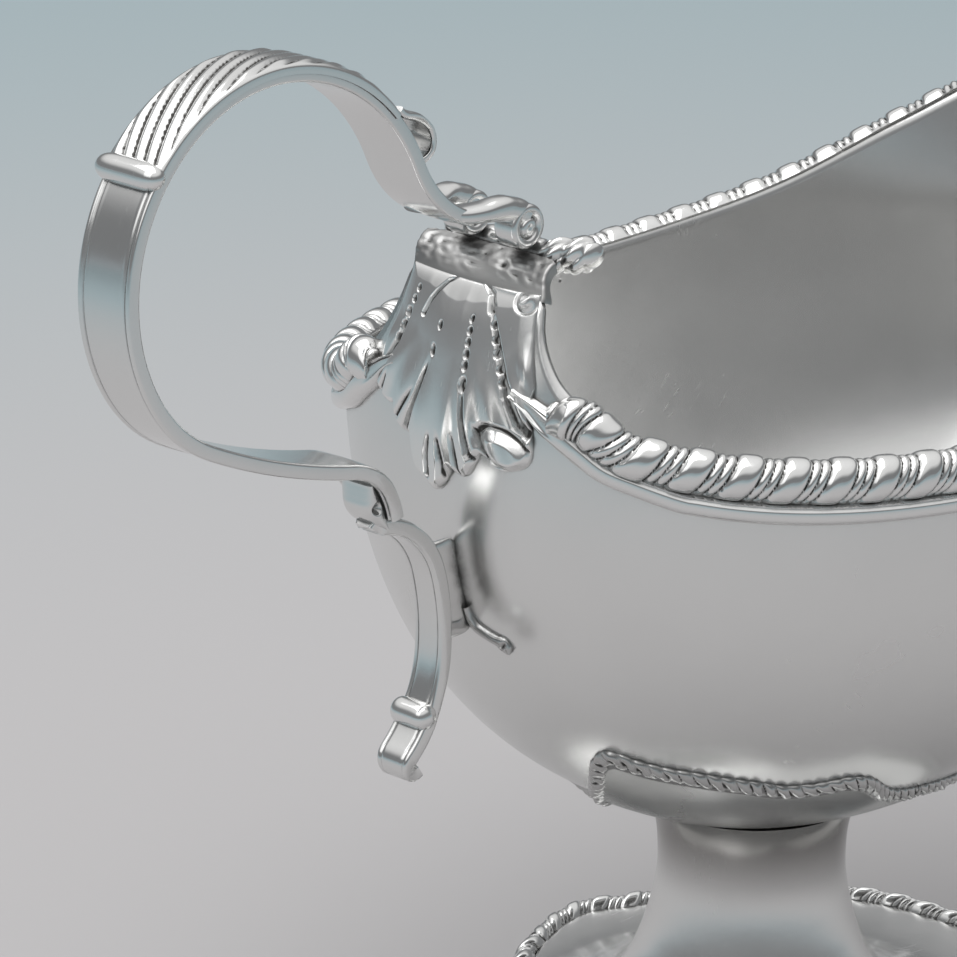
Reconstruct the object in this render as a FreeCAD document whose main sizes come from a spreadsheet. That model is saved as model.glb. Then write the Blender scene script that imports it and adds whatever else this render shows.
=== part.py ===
import FreeCAD, Part

import math
import os
import re

import Sketcher
from FreeCAD import Vector

# Pedestal sauce boat in silver. +X is the pouring lip, -X the handle, +Z up, and the
# XZ plane is the plane of symmetry. The origin is the centre of the foot on the table.
# Every length is in millimetres and every angle in degrees.

os.makedirs("parts", exist_ok=True)
doc = FreeCAD.newDocument("sauce_boat")
sheet = doc.addObject("Spreadsheet::Sheet", "sizes")

SIZES = {
    # the raised body
    "bowl_base_level": 38.9,
    "belly_level": 105.0,
    "belly_half_width": 50.0,
    "rear_reach": 67.4,
    "front_reach": 74.0,
    "belly_offset": 8.0,
    "lip_flare": 11.0,
    "flare_level": 90.0,
    "body_wall": 1.0,
    "rim_low_level": 103.6,
    "rim_back_rise": 9.1,
    "lip_rise": 29.0,
    "neck_base_half": 17.6,
    "neck_half": 11.3,
    "neck_rise": 11.3,
    "neck_lean": 4.0,
    # the applied rim
    "gadroon_depth": 3.2,
    "gadroon_drop": 4.7,
    "rim_wire_depth": 2.0,
    "rim_wire_drop": 3.3,
    "rim_wire_overrun": 2.5,
    "lip_border_reach": 50.0,
    # the crest over the neck
    "crest_wall": 1.8,
    "crest_roll_radius": 5.6,
    "crest_roll_angle": 58.0,
    "crest_bar_radius": 2.0,
    "crest_bar_length": 22.0,
    "knop_radius": 2.9,
    "knop_tip_radius": 2.3,
    "knop_length": 6.2,
    # the shell mount and the seat below it
    "shell_depth": 1.6,
    "shell_half_width": 10.2,
    "shell_fan_radius": 24.0,
    "shell_drop": 1.5,
    "seat_width": 2.6,
    "seat_height": 16.0,
    "seat_drop": 6.5,
    "leaf_width": 2.0,
    "leaf_depth": 1.2,
    "leaf_run": 9.0,
    "leaf_spread_radius": 7.0,
    # the handle
    "strap_wall": 2.0,
    "strap_width": 8.8,
    "handle_standoff": 12.4,
    "handle_drop": 25.5,
    "heel_radius": 10.1,
    "heel_run_radius": 99.9,
    "back_radius": 20.3,
    "crown_radius": 23.3,
    "shoulder_radius": 25.7,
    "fall_radius": 15.4,
    "cap_depth": 0.9,
    "cap_width": 9.4,
    "band_radius": 1.7,
    "band_length": 10.6,
    "thumb_radius": 2.6,
    "thumb_width": 6.0,
    "terminal_width": 3.6,
    "terminal_spread": 6.8,
    "terminal_radius": 2.9,
    "terminal_setback": 3.0,
    "lower_wall": 2.2,
    "lower_width": 4.6,
    "lower_shoulder_radius": 12.0,
    "lower_back_radius": 31.2,
    "lower_tail_radius": 18.8,
    "tail_curl_radius": 2.4,
    "volute_radius": 2.4,
    "collar_radius": 1.9,
    "collar_length": 6.4,
    # the calyx plate under the body
    "calyx_wall": 0.7,
    "calyx_border_depth": 1.2,
    "calyx_border_width": 2.5,
    "calyx_reach": 44.2,
    "calyx_spread": 32.0,
    "calyx_tip_half": 12.5,
    "calyx_side_tip_half": 15.5,
    "calyx_notch": 8.5,
    # the stem and the foot
    "stem_wall": 1.2,
    "stem_waist_radius": 12.9,
    "stem_waist_level": 31.0,
    "stem_head_radius": 15.6,
    "stem_head_overrun": 1.5,
    "stem_foot_radius": 24.0,
    "foot_crown_level": 9.0,
    "foot_flange_level": 4.8,
    "foot_wall": 1.2,
    "foot_bend_run": 9.0,
    "foot_bend_rise": 1.1,
    "foot_reach": 49.6,
    "foot_spread": 45.5,
    "foot_tip_half": 8.0,
    "foot_notch": 3.2,
    "foot_bow": 0.25,
    "foot_border_width": 4.4,
    "foot_border_top": 6.4,
    "foot_wire_height": 1.4,
    "foot_wire_width": 3.2,
}
# Sizes that follow from the ones above
DERIVED = {
    "knop_big_centre": "crest_bar_length / 2 + 0.4 * knop_length",
    "knop_tip_centre": "crest_bar_length / 2 + knop_length - knop_tip_radius",
    "neck_base_level": "rim_low_level + rim_back_rise",
    "neck_top_level": "rim_low_level + rim_back_rise + neck_rise",
    "lip_level": "rim_low_level + lip_rise",
    "rear_end": "belly_offset - rear_reach",
    "handle_foot_reach": "rear_reach - belly_offset + handle_standoff",
    "handle_foot_level": "rim_low_level + rim_back_rise + neck_rise - handle_drop",
    "seat_top_level": "rim_low_level + rim_back_rise + neck_rise - handle_drop - seat_drop",
    "stem_head_level": "bowl_base_level + stem_head_overrun",
}
cells = {name: str(value) for name, value in SIZES.items()}
cells.update({name: f"={formula}" for name, formula in DERIVED.items()})
for row, (name, content) in enumerate(cells.items(), start=1):
    sheet.set(f"A{row}", name)
    sheet.set(f"B{row}", content)
    sheet.setAlias(f"B{row}", name)
doc.recompute()


def size(formula):
    """The value of a size, or of a formula of sizes."""
    return float(sheet.evalExpression(formula))


def bound(formula):
    """A formula of sizes as another object of the document reads it."""
    return re.sub(r"[a-z]+_\w+", lambda word: f"sizes.{word[0]}", formula)


# Exponents of the body's plan and of its rounded underside, and the sharpening of its lip
PLAN_POWER = 2.15
UNDERSIDE_POWER = 2.2
LIP_SHARPNESS = 0.2
# Share of the rear reach at which the rim ends against the neck
RIM_BACK_SHARE = 0.923
# Bow of the calyx plate's long edges, as a share of their chord
CALYX_BOW = 0.1
# How far a cutting solid runs past what it cuts
PAST = 40.0
FAR = 4 * PAST
SIDES = (("left", 1), ("right", -1))
QUARTERS = (
    ("front_left", 1, 1),
    ("front_right", 1, -1),
    ("back_left", -1, 1),
    ("back_right", -1, -1),
)

subparts = []


def keep(obj, label):
    """Count an object as a piece of the boat under a label of its own."""
    obj.Label = label
    subparts.append(obj)
    return obj


def feature(name, shape):
    """A shape that is worked out below, as one solid where it is one."""
    solids = shape.Solids
    obj = doc.addObject("Part::Feature", name)
    obj.Shape = solids[0] if len(solids) == 1 else shape
    obj.Placement = FreeCAD.Placement()
    return obj


def primitive(kind, name, centre=Vector(), turn=FreeCAD.Rotation(), **formulas):
    """A Part primitive whose sizes follow the sheet."""
    obj = doc.addObject(kind, name)
    for prop, formula in formulas.items():
        obj.setExpression(prop, bound(formula))
    obj.Placement = FreeCAD.Placement(centre, turn)
    return obj


def cut(name, base, tool):
    obj = doc.addObject("Part::Cut", name)
    obj.Base = base
    obj.Tool = tool
    return obj


def box(low, high):
    return Part.makeBox(*[b - a for a, b in zip(low, high)], Vector(*low))


def smooth(points):
    curve = Part.BSplineCurve()
    curve.interpolate([Vector(*p) for p in points])
    return curve.toShape()


def line(a, b):
    return Part.LineSegment(Vector(*a), Vector(*b)).toShape()


def face_between(edges):
    return Part.Face(Part.Wire(Part.__sortEdges__(edges)))


# ---------------------------------------------------------------- the body


def rounding(level, grow):
    """Share of the full width that the rounded underside has reached at a level."""
    base = size("bowl_base_level") - grow
    rise = min(1.0, max(0.0, (level - base) / (size("belly_level") - base)))
    return (1 - (1 - rise) ** UNDERSIDE_POWER) ** (1 / UNDERSIDE_POWER)


def neck_lean(level):
    over = max(0.0, level - size("belly_level")) / size("neck_top_level - belly_level")
    return size("neck_lean") * over**2


def lip_flare(level):
    over = max(0.0, level - size("flare_level")) / size("lip_level - flare_level")
    return size("lip_flare") * over**2


def boat_section(level, grow):
    """Closed plan outline of the body at one level, grown outwards by a skin depth."""
    share = rounding(level, grow)
    rear = (size("rear_reach") + grow) * share - neck_lean(level)
    front = (size("front_reach") + grow) * share + lip_flare(level)
    half = (size("belly_half_width") + grow) * share
    rise = (level - size("bowl_base_level")) / size("belly_level - bowl_base_level")
    sharpness = LIP_SHARPNESS * min(1.0, max(0.0, rise)) ** 2
    points = []
    count = 24
    for i in range(count):
        angle = 2 * math.pi * i / count
        u = math.cos(angle)
        power = 1 / PLAN_POWER + (sharpness if u > 0 else 0.0)
        y = half * max(0.0, 1 - abs(u) ** PLAN_POWER) ** power
        x = size("belly_offset") + (front if u > 0 else rear) * u
        points.append(Vector(x, math.copysign(y, math.sin(angle)), level))
    outline = Part.BSplineCurve()
    outline.interpolate(Points=points, PeriodicFlag=True)
    return Part.Wire(outline.toShape())


def boat_solid(grow):
    """The body's outer form as a solid, grown outwards by a skin depth."""
    depth = size("belly_level - bowl_base_level") + grow
    levels = []
    for turn in range(9, 90, 12):
        levels.append(size("belly_level") - depth * math.cos(math.radians(turn)) ** (2 / UNDERSIDE_POWER))
    top = size("lip_level + body_wall + gadroon_depth + 4")
    steps = 3
    for i in range(steps + 1):
        levels.append(size("belly_level") + (top - size("belly_level")) * i / steps)
    return Part.makeLoft([boat_section(z, grow) for z in levels], True, False)


def below_rim(drop):
    """Everything under the rim line lowered by a drop, as a prism across the boat."""
    middle, low = size("belly_offset"), size("rim_low_level") - drop
    # shares of the reach and of the rise from the lowest point of the rim
    back = [(RIM_BACK_SHARE, 1.0), (0.87, 0.63), (0.76, 0.35), (0.6, 0.18), (0.35, 0.07)]
    front = [(0.27, 0.045), (0.49, 0.19), (0.69, 0.49), (0.8, 0.69), (0.9, 0.86), (1.03, 1.02)]
    reach = size("rear_reach")
    points = [(middle - s * reach, 0, low + r * size("rim_back_rise")) for s, r in back]
    points.append((middle, 0, low))
    reach = size("front_reach + lip_flare")
    points += [(middle + s * reach, 0, low + r * size("lip_rise")) for s, r in front]
    start, end = points[0], points[-1]
    corners = [end, (FAR, 0, end[2]), (FAR, 0, -PAST), (-FAR, 0, -PAST), (-FAR, 0, start[2]), start]
    edges = [smooth(points)] + [line(a, b) for a, b in zip(corners, corners[1:])]
    prism = face_between(edges).extrude(Vector(0, 2 * FAR, 0))
    prism.translate(Vector(0, -FAR, 0))
    return prism


def neck_prism():
    """Everything between the hollow sides of the neck, up to its flat top."""
    spread = size("neck_base_half - neck_half")
    # shares of the rise and of the spread
    sides = [(0.0, 1.0), (0.2, 0.62), (0.5, 0.27), (0.78, 0.07), (1.0, 0.0)]
    right = []
    for r, s in sides:
        right.append((0, size("neck_half") + s * spread, size("neck_base_level") + r * size("neck_rise")))
    left = [(x, -y, z) for x, y, z in right]
    floor = size("rim_low_level")
    corners = [left[0], (0, left[0][1], floor), (0, right[0][1], floor), right[0]]
    edges = [smooth(right), smooth(left), line(right[-1], left[-1])]
    edges += [line(a, b) for a, b in zip(corners, corners[1:])]
    prism = face_between(edges).extrude(Vector(-FAR, 0, 0))
    prism.translate(Vector(size("belly_offset - rear_reach / 2"), 0, 0))
    return prism


boat = boat_solid(0.0)


def skin(depth, region):
    """A layer of some depth that lies on the body's outer face inside a region."""
    return boat_solid(depth).common(region).cut(boat)


under_rim = below_rim(0.0)
hollow = boat_solid(-size("body_wall"))
keep(feature("raised_body", boat.cut(hollow).common(under_rim.fuse(neck_prism()))), "body")

# ---------------------------------------------------------------- the applied rim

under_gadroon = below_rim(size("gadroon_drop"))
under_wire = below_rim(size("gadroon_drop + rim_wire_drop"))
gadroon_skin = skin(size("gadroon_depth"), under_rim.cut(under_gadroon))
wire_skin = skin(size("rim_wire_depth"), under_gadroon.cut(under_wire))
border_back = size("belly_offset") - RIM_BACK_SHARE * size("rear_reach")
lip_start = size("belly_offset + lip_border_reach")
rim_pieces = []
for label, side in SIDES:
    low, high = sorted((0, side * FAR))
    length = box((border_back, low, 0), (lip_start, high, FAR))
    gadroon = feature(f"gadroon_{label}", gadroon_skin.common(length))
    length = box((border_back - size("rim_wire_overrun"), low, 0), (FAR, high, FAR))
    wire = feature(f"wire_{label}", wire_skin.common(length))
    rim_pieces += [keep(gadroon, f"rim_gadroon_{label}"), keep(wire, f"rim_wire_{label}")]
lip_end = box((lip_start, -FAR, 0), (FAR, FAR, FAR))
keep(feature("gadroon_lip", gadroon_skin.common(lip_end)), "rim_gadroon_lip")

# ---------------------------------------------------------------- straps drawn with tangent arcs


def walk(start, heading, arcs):
    """Points and headings at the joints of a chain of tangent arcs in the XZ plane.

    Each arc is (radius, sweep). A positive radius turns left, a negative one right.
    """
    stops = [(Vector(start[0], 0, start[1]), heading)]
    for radius, sweep in arcs:
        after = heading + math.copysign(sweep, radius)
        centre = beside(stops[-1], radius)
        heading = after
        stops.append((beside((centre, after), -radius), after))
    return stops


def beside(stop, offset):
    """The point at an offset to the left of a stop."""
    point, heading = stop
    normal = math.radians(heading + 90)
    return point + Vector(math.cos(normal), 0, math.sin(normal)) * offset


def band(stops, arcs, low, high, width):
    """A strap between two offsets of an arc chain, centred on the XZ plane."""
    edges = []
    for offset in (low, high):
        for (begin, end), (radius, sweep) in zip(zip(stops, stops[1:]), arcs):
            half = walk((begin[0].x, begin[0].z), begin[1], [(radius, sweep / 2)])[-1]
            edges.append(Part.Arc(*[beside(stop, offset) for stop in (begin, half, end)]).toShape())
    for stop in (stops[0], stops[-1]):
        edges.append(line(beside(stop, low), beside(stop, high)))
    strap = face_between(edges).extrude(Vector(0, width, 0))
    strap.translate(Vector(0, -width / 2, 0))
    return strap


ACROSS = FreeCAD.Rotation(Vector(0, 0, 1), Vector(0, 1, 0))


def cross_rod(name, centre, radius, length):
    """A rod lying across the boat, centred on the XZ plane."""
    start = centre - Vector(0, size(length) / 2, 0)
    return primitive("Part::Cylinder", name, start, ACROSS, Radius=radius, Height=length)


# ---------------------------------------------------------------- the crest over the neck

neck_rear = size("rear_end + neck_lean")
lean_angle = math.degrees(math.atan(size("2 * neck_lean / (neck_top_level - belly_level)")))
crest_arcs = [(-size("crest_roll_radius"), size("crest_roll_angle"))]
crest_start = (neck_rear + size("crest_wall / 2"), size("neck_top_level"))
crest_stops = walk(crest_start, 90 - lean_angle, crest_arcs)
half_crest = size("crest_wall / 2")
crest = band(crest_stops, crest_arcs, -half_crest, half_crest, size("2 * neck_half"))
crest_end, crest_heading = crest_stops[-1]
bar_centre = beside((crest_end, crest_heading - 90), size("crest_bar_radius"))
bar = keep(cross_rod("bar", bar_centre, "crest_bar_radius", "crest_bar_length"), "crest_bar")
doc.recompute()
below_crest = box((-FAR, -FAR, 0), (FAR, FAR, size("neck_top_level")))
keep(feature("crest", crest.cut(below_crest).cut(bar.Shape)), "crest_plate")

for label, side in SIDES:
    # a big bead and a smaller one, turned in one piece, flat against the bar's end
    lift = Vector(0, side, 0)
    big_centre = bar_centre + lift * size("knop_big_centre")
    tip_centre = bar_centre + lift * size("knop_tip_centre")
    big = primitive("Part::Sphere", f"knop_big_{label}", big_centre, Radius="knop_radius")
    tip = primitive("Part::Sphere", f"knop_tip_{label}", tip_centre, Radius="knop_tip_radius")
    beads = doc.addObject("Part::MultiFuse", f"knop_beads_{label}")
    beads.Shapes = [big, tip]
    bar_side = primitive("Part::Box", f"knop_stop_{label}", Height="crest_bar_length")
    bar_side.setExpression("Length", bound("crest_bar_length"))
    bar_side.setExpression("Width", bound("crest_bar_length"))
    start = -size("crest_bar_length") / 2
    bar_side.Placement.Base = bar_centre + Vector(start, start, start)
    keep(cut(f"knop_{label}", beads, bar_side), f"crest_knop_{label}")

# ---------------------------------------------------------------- the shell mount


def fan_point(turn, radius):
    angle = math.radians(turn)
    top = size("neck_top_level - shell_drop")
    return Vector(0, radius * math.sin(angle), top - radius * math.cos(angle))


def shell_fan():
    """The shell's outline seen from behind: a flat-topped fan with a lobed lower edge."""
    radius, half = size("shell_fan_radius"), size("shell_half_width")
    lobes, lobe_turn = 7, 13.0
    last = lobe_turn * lobes / 2
    edges = []

    def shortened(turn):
        return radius * (1 - 0.18 * abs(turn) / last)

    for i in range(lobes):
        ends = (i * lobe_turn - last, (i + 1) * lobe_turn - last)
        middle = sum(ends) / 2
        valleys = [fan_point(turn, 0.93 * shortened(turn)) for turn in ends]
        tip = fan_point(middle, shortened(middle))
        edges.append(Part.Arc(valleys[0], tip, valleys[1]).toShape())
    top = fan_point(0, 0).z
    for side in (1, -1):
        foot = fan_point(side * last, 0.93 * shortened(last))
        waist = (0, side * half, top - radius / 4)
        edges.append(line(foot, waist))
        edges.append(line(waist, (0, side * half, top)))
    edges.append(line((0, half, top), (0, -half, top)))
    return face_between(edges).extrude(Vector(-FAR, 0, 0))


shell = skin(size("shell_depth"), shell_fan())
for piece in rim_pieces:
    shell = shell.cut(piece.Shape)
keep(feature("shell", shell), "shell_mount")

# ---------------------------------------------------------------- the handle

half_strap = size("strap_wall / 2")
half_lower = size("lower_wall / 2")
base_arcs = [
    (size("heel_radius"), 67.9),
    (-size("heel_run_radius"), 14.3),
    (-size("back_radius"), 32.0),
    (-size("crown_radius"), 69.5),
]
crown_arcs = [(-size("crown_radius"), 58.2), (-size("shoulder_radius"), 42.6)]
fall_arcs = [(-size("shoulder_radius"), 17.8), (size("fall_radius"), 48.0)]


def go_on(stops, arcs):
    """Stops of an arc chain that continues another."""
    point, heading = stops[-1]
    return walk((point.x, point.z), heading, arcs)


handle_foot = (-size("handle_foot_reach"), size("handle_foot_level"))
base_stops = walk(handle_foot, 100.2, base_arcs)
crown_stops = go_on(base_stops, crown_arcs)
fall_stops = go_on(crown_stops, fall_arcs)
strap_stops = base_stops + crown_stops[1:] + fall_stops[1:]
strap_arcs = base_arcs + crown_arcs + fall_arcs
strap = band(strap_stops, strap_arcs, -half_strap, half_strap, size("strap_width"))

# the lower scroll carries the strap's foot and runs down to a free curled tail
lower_arcs = [
    (-size("lower_shoulder_radius"), 66.0),
    (-size("lower_back_radius"), 19.8),
    (-size("lower_tail_radius"), 22.0),
    (-size("lower_tail_radius"), 25.6),
    (size("tail_curl_radius"), 200.0),
]
lower_start = beside((base_stops[0][0], 100.2), half_lower) - Vector(0, 0, half_strap)
lower_stops = walk((lower_start.x, lower_start.z), -8.7, lower_arcs)
lower = band(lower_stops, lower_arcs, -half_lower, half_lower, size("lower_width"))
volute = size("volute_radius")
head_centre = beside(lower_stops[0], half_lower - volute)
head_length = size("lower_width") + half_strap
head = Part.makeCylinder(volute, head_length, head_centre - Vector(0, head_length / 2, 0), Vector(0, 1, 0))
lower_scroll = keep(feature("lower_scroll", lower.fuse(head)), "handle_lower_scroll")

# the strap's own lower end rolls up inside the loop
eye = beside(base_stops[1], volute + half_strap) + Vector(2.0, 0, 0.4)
roll_length = size("strap_width") - half_strap
roll = Part.makeCylinder(volute, roll_length, eye - Vector(0, roll_length / 2, 0), Vector(0, 1, 0))
upper = strap.fuse(roll).cut(lower_scroll.Shape)
upper_scroll = keep(feature("upper_scroll", upper), "handle_upper_scroll")

# leaf cap over the crown, the band across its start, and its free curl for the thumb
half_cap = size("cap_depth / 2")
band_rod = cross_rod("band_rod", beside(crown_stops[0], half_strap + half_cap), "band_radius", "band_length")
cross_band = keep(cut("cross_band", band_rod, upper_scroll), "handle_cross_band")
doc.recompute()
cap = band(crown_stops, crown_arcs, half_strap, half_strap + 2 * half_cap, size("cap_width"))
keep(feature("leaf_cap", cap.cut(cross_band.Shape)), "handle_leaf_cap")
thumb = size("thumb_radius")
thumb_arcs = [(1.2 * thumb, 33.0), (-4.5 * thumb, 24.0), (-thumb, 112.0)]
thumb_root = beside(crown_stops[-1], half_strap + half_cap)
thumb_stops = walk((thumb_root.x, thumb_root.z), crown_stops[-1][1], thumb_arcs)
thumb_scroll = band(thumb_stops, thumb_arcs, -half_cap, half_cap, size("thumb_width"))
keep(feature("thumb_scroll", thumb_scroll), "handle_thumb_scroll")

# the strap's top end parts into two arms, whose curls rest on the crest bar
setback, terminal = size("terminal_setback"), size("terminal_radius")
curl_rise = math.sqrt((size("crest_bar_radius") + terminal) ** 2 - setback**2)
curl_centre = bar_centre + Vector(-setback, 0, curl_rise)


def arm_section(low, high, near, away):
    corners = [(low.x, near, low.z), (low.x, away, low.z), (high.x, away, high.z), (high.x, near, high.z)]
    return Part.makePolygon([Vector(*c) for c in corners + corners[:1]])


def terminal_arm(side):
    fork = fall_stops[-1]
    root = arm_section(
        beside(fork, -half_strap), beside(fork, half_strap), side * 0.4, side * size("strap_width / 2")
    )
    middle, half_width = side * size("terminal_spread"), side * size("terminal_width / 2")
    top = curl_centre + Vector(0, 0, terminal)
    under = top - Vector(0, 0, size("1.2 * strap_wall"))
    arm = Part.makeLoft([root, arm_section(under, top, middle - half_width, middle + half_width)], True, True)
    width = size("terminal_width")
    start = curl_centre + Vector(0, middle - width / 2, 0)
    return arm.fuse(Part.makeCylinder(terminal, width, start, Vector(0, 1, 0))).cut(strap)


for label, side in SIDES:
    keep(feature(f"terminal_{label}", terminal_arm(side)), f"handle_terminal_{label}")

collar_rod = cross_rod("collar_rod", beside(lower_stops[3], -half_lower), "collar_radius", "collar_length")
keep(cut("collar", collar_rod, lower_scroll), "handle_collar")

# ---------------------------------------------------------------- the seat of the lower scroll

outer_form = feature("outer_form", boat)
seat_sizes = {"Length": "rear_reach / 3", "Width": "seat_width", "Height": "seat_height"}
seat_bar = primitive("Part::Box", "seat_bar", **seat_sizes)
seat_corner = (lower_stops[2][0].x, -size("seat_width / 2"), size("seat_top_level - seat_height"))
seat_bar.Placement.Base = Vector(*seat_corner)
keep(cut("seat", cut("seat_on_body", seat_bar, outer_form), lower_scroll), "lower_seat")


def seat_leaf(side):
    """A narrow leaf that runs down beside the seat and turns away at its end."""
    half = size("leaf_width / 2")
    start = size("seat_width / 2") + half
    turn_level = size("seat_top_level - leaf_run")
    arcs = [(size("leaf_spread_radius"), 62.0)]
    turned = band(walk((start, turn_level), -90.0, arcs), arcs, -half, half, 2 * FAR)
    straight = box((start - half, -FAR, turn_level), (start + half, FAR, size("seat_top_level")))
    leaf = turned.fuse(straight)
    # drawn in XZ, then turned to run along X, with its first axis along Y
    leaf.rotate(Vector(), Vector(0, 0, 1), 90)
    if side < 0:
        leaf = leaf.mirror(Vector(), Vector(0, 1, 0))
    return skin(size("leaf_depth"), leaf.common(box((-FAR, -FAR, 0), (0, FAR, FAR))))


for label, side in SIDES:
    keep(feature(f"leaf_{label}", seat_leaf(side)), f"seat_leaf_{label}")

# ---------------------------------------------------------------- the calyx plate and its border


def calyx_prism(inset):
    """Four long bowed edges across the diagonals, with a hollow arc on each axis."""
    tip = Vector(size("calyx_reach") - inset, size("calyx_tip_half"), 0)
    side_tip = Vector(size("calyx_side_tip_half"), size("calyx_spread") - inset, 0)
    chord = side_tip - tip
    middle = (tip + side_tip) * 0.5 + Vector(chord.y, -chord.x, 0) * CALYX_BOW
    end_hollow = Vector(tip.x - size("calyx_notch"), 0, 0)
    side_hollow = Vector(0, side_tip.y - size("0.8 * calyx_notch"), 0)
    edges = []
    for sx, sy in ((1, 1), (1, -1), (-1, 1), (-1, -1)):
        points = [Vector(sx * p.x, sy * p.y, 0) for p in (tip, middle, side_tip)]
        edges.append(Part.Arc(*points).toShape())
    for way in (1, -1):
        points = (tip, end_hollow, Vector(tip.x, -tip.y, 0))
        edges.append(Part.Arc(*[Vector(way * p.x, p.y, 0) for p in points]).toShape())
        points = (side_tip, side_hollow, Vector(-side_tip.x, side_tip.y, 0))
        edges.append(Part.Arc(*[Vector(p.x, way * p.y, 0) for p in points]).toShape())
    return face_between(edges).extrude(Vector(0, 0, size("belly_level")))


calyx_inside = calyx_prism(size("calyx_border_width"))
keep(feature("calyx", skin(size("calyx_wall"), calyx_inside)), "calyx_plate")
calyx_ring = skin(size("calyx_border_depth"), calyx_prism(0.0).cut(calyx_inside))
for label, sx, sy in QUARTERS:
    low_x, high_x = sorted((0, sx * FAR))
    low_y, high_y = sorted((0, sy * FAR))
    quarter = calyx_ring.common(box((low_x, low_y, 0), (high_x, high_y, FAR)))
    keep(feature(f"calyx_{label}", quarter), f"calyx_gadroon_{label}")

# ---------------------------------------------------------------- bodies drawn as sketches


def plane_of(body, role):
    return [plane for plane in body.Origin.OriginFeatures if plane.Role == role][0]


def arc_of(start, end, radius):
    """Arc between two points: a positive radius turns left on the way, a negative one right."""
    chord = end - start
    rise = math.sqrt(radius**2 - chord.Length**2 / 4)
    to_centre = Vector(-chord.y, chord.x, 0).normalize() * math.copysign(rise, radius)
    centre = (start + end) * 0.5 + to_centre
    first, last = (start, end) if radius > 0 else (end, start)
    angles = [math.atan2(p.y - centre.y, p.x - centre.x) for p in (first, last)]
    return Part.ArcOfCircle(Part.Circle(centre, Vector(0, 0, 1), abs(radius)), *angles)


def sketch(body, name, role, outline):
    """A closed sketch. Each item of the outline is (x, y, radius): a corner's two formulas,
    and the formula of the radius of the arc to the next corner, or None for a line."""
    drawing = body.newObject("Sketcher::SketchObject", name)
    drawing.AttachmentSupport = (plane_of(body, role), [""])
    drawing.MapMode = "FlatFace"
    corners = [Vector(size(x), size(y), 0) for x, y, radius in outline]
    begins = []
    for i, (x, y, radius) in enumerate(outline):
        start, end = corners[i], corners[(i + 1) % len(corners)]
        edge = Part.LineSegment(start, end) if radius is None else arc_of(start, end, size(radius))
        drawing.addGeometry(edge, False)
        begins.append(2 if radius is not None and size(radius) < 0 else 1)
    for i, (x, y, radius) in enumerate(outline):
        after = (i + 1) % len(corners)
        drawing.addConstraint(Sketcher.Constraint("Coincident", i, 3 - begins[i], after, begins[after]))
        for kind, formula, value in (("DistanceX", x, corners[i].x), ("DistanceY", y, corners[i].y)):
            index = drawing.addConstraint(Sketcher.Constraint(kind, -1, 1, i, begins[i], value))
            drawing.setExpression(f"Constraints[{index}]", bound(formula))
        if radius is not None:
            index = drawing.addConstraint(Sketcher.Constraint("Radius", i, abs(size(radius))))
            drawing.setExpression(f"Constraints[{index}]", bound(radius).lstrip("-"))
    return drawing


def turned_body(name, outline):
    body = doc.addObject("PartDesign::Body", name)
    profile = sketch(body, f"{name}_profile", "XZ_Plane", outline)
    turned = body.newObject("PartDesign::Revolution", f"{name}_turned")
    turned.Profile = profile
    turned.ReferenceAxis = (profile, ["V_Axis"])
    turned.Angle = 360
    return body


def padded_body(name, outline, bottom, top):
    """An outline in plan, padded between two levels given as formulas."""
    body = doc.addObject("PartDesign::Body", name)
    plan = sketch(body, f"{name}_plan", "XY_Plane", outline)
    pad = body.newObject("PartDesign::Pad", f"{name}_pad")
    pad.Profile = plan
    pad.setExpression("Length", bound(f"({top}) - ({bottom})"))
    body.setExpression("Placement.Base.z", bound(bottom))
    return body


# ---------------------------------------------------------------- the stem


def waist_radius(out, rise, inset):
    """Formula of the arc that leaves the stem's upright waist and reaches a wider point."""
    run = f"({out} - stem_waist_radius + {inset})"
    return f"({run} ^ 2 + ({rise}) ^ 2) / (2 * {run})"


foot_rise = "stem_waist_level - foot_crown_level"
head_rise = "stem_head_level - stem_waist_level"
inner_foot = "stem_foot_radius - 2 * stem_wall"
inner_head = "stem_head_radius - stem_wall"
stem_outline = [
    ("stem_foot_radius", "foot_crown_level", "-" + waist_radius("stem_foot_radius", foot_rise, "0")),
    ("stem_waist_radius", "stem_waist_level", "-" + waist_radius("stem_head_radius", head_rise, "0")),
    ("stem_head_radius", "stem_head_level", None),
    (inner_head, "stem_head_level", waist_radius(inner_head, head_rise, "stem_wall")),
    ("stem_waist_radius - stem_wall", "stem_waist_level", waist_radius(inner_foot, foot_rise, "stem_wall")),
    (inner_foot, "foot_crown_level", None),
]
stem_tube = turned_body("stem_tube", stem_outline)
calyx_form = feature("calyx_form", boat_solid(size("calyx_wall")))
keep(cut("stem_under_calyx", stem_tube, calyx_form), "stem")

# ---------------------------------------------------------------- the foot


def foot_outline(inset):
    """Four round lobes across the diagonals, with a hollow arc between them on each axis."""
    tip, side, half = f"(foot_reach - {inset})", f"(foot_spread - {inset})", "foot_tip_half"
    chord = f"sqrt(({tip} - {half}) ^ 2 + ({side} - {half}) ^ 2)"
    lobe = f"{chord} * (0.25 + foot_bow ^ 2) / (2 * foot_bow)"
    hollow_arc = f"-({half} ^ 2 + foot_notch ^ 2) / (2 * foot_notch)"
    return [
        (tip, half, lobe),
        (half, side, hollow_arc),
        (f"-{half}", side, lobe),
        (f"-{tip}", half, hollow_arc),
        (f"-{tip}", f"-{half}", lobe),
        (f"-{half}", f"-{side}", hollow_arc),
        (half, f"-{side}", lobe),
        (tip, f"-{half}", hollow_arc),
    ]


def foot_ring(name, width, bottom, top):
    """A border that follows the foot's edge between two levels."""
    outer = padded_body(f"{name}_outer", foot_outline("0"), bottom, top)
    inner = padded_body(f"{name}_inner", foot_outline(width), bottom, top)
    return cut(name, outer, inner)


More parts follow.
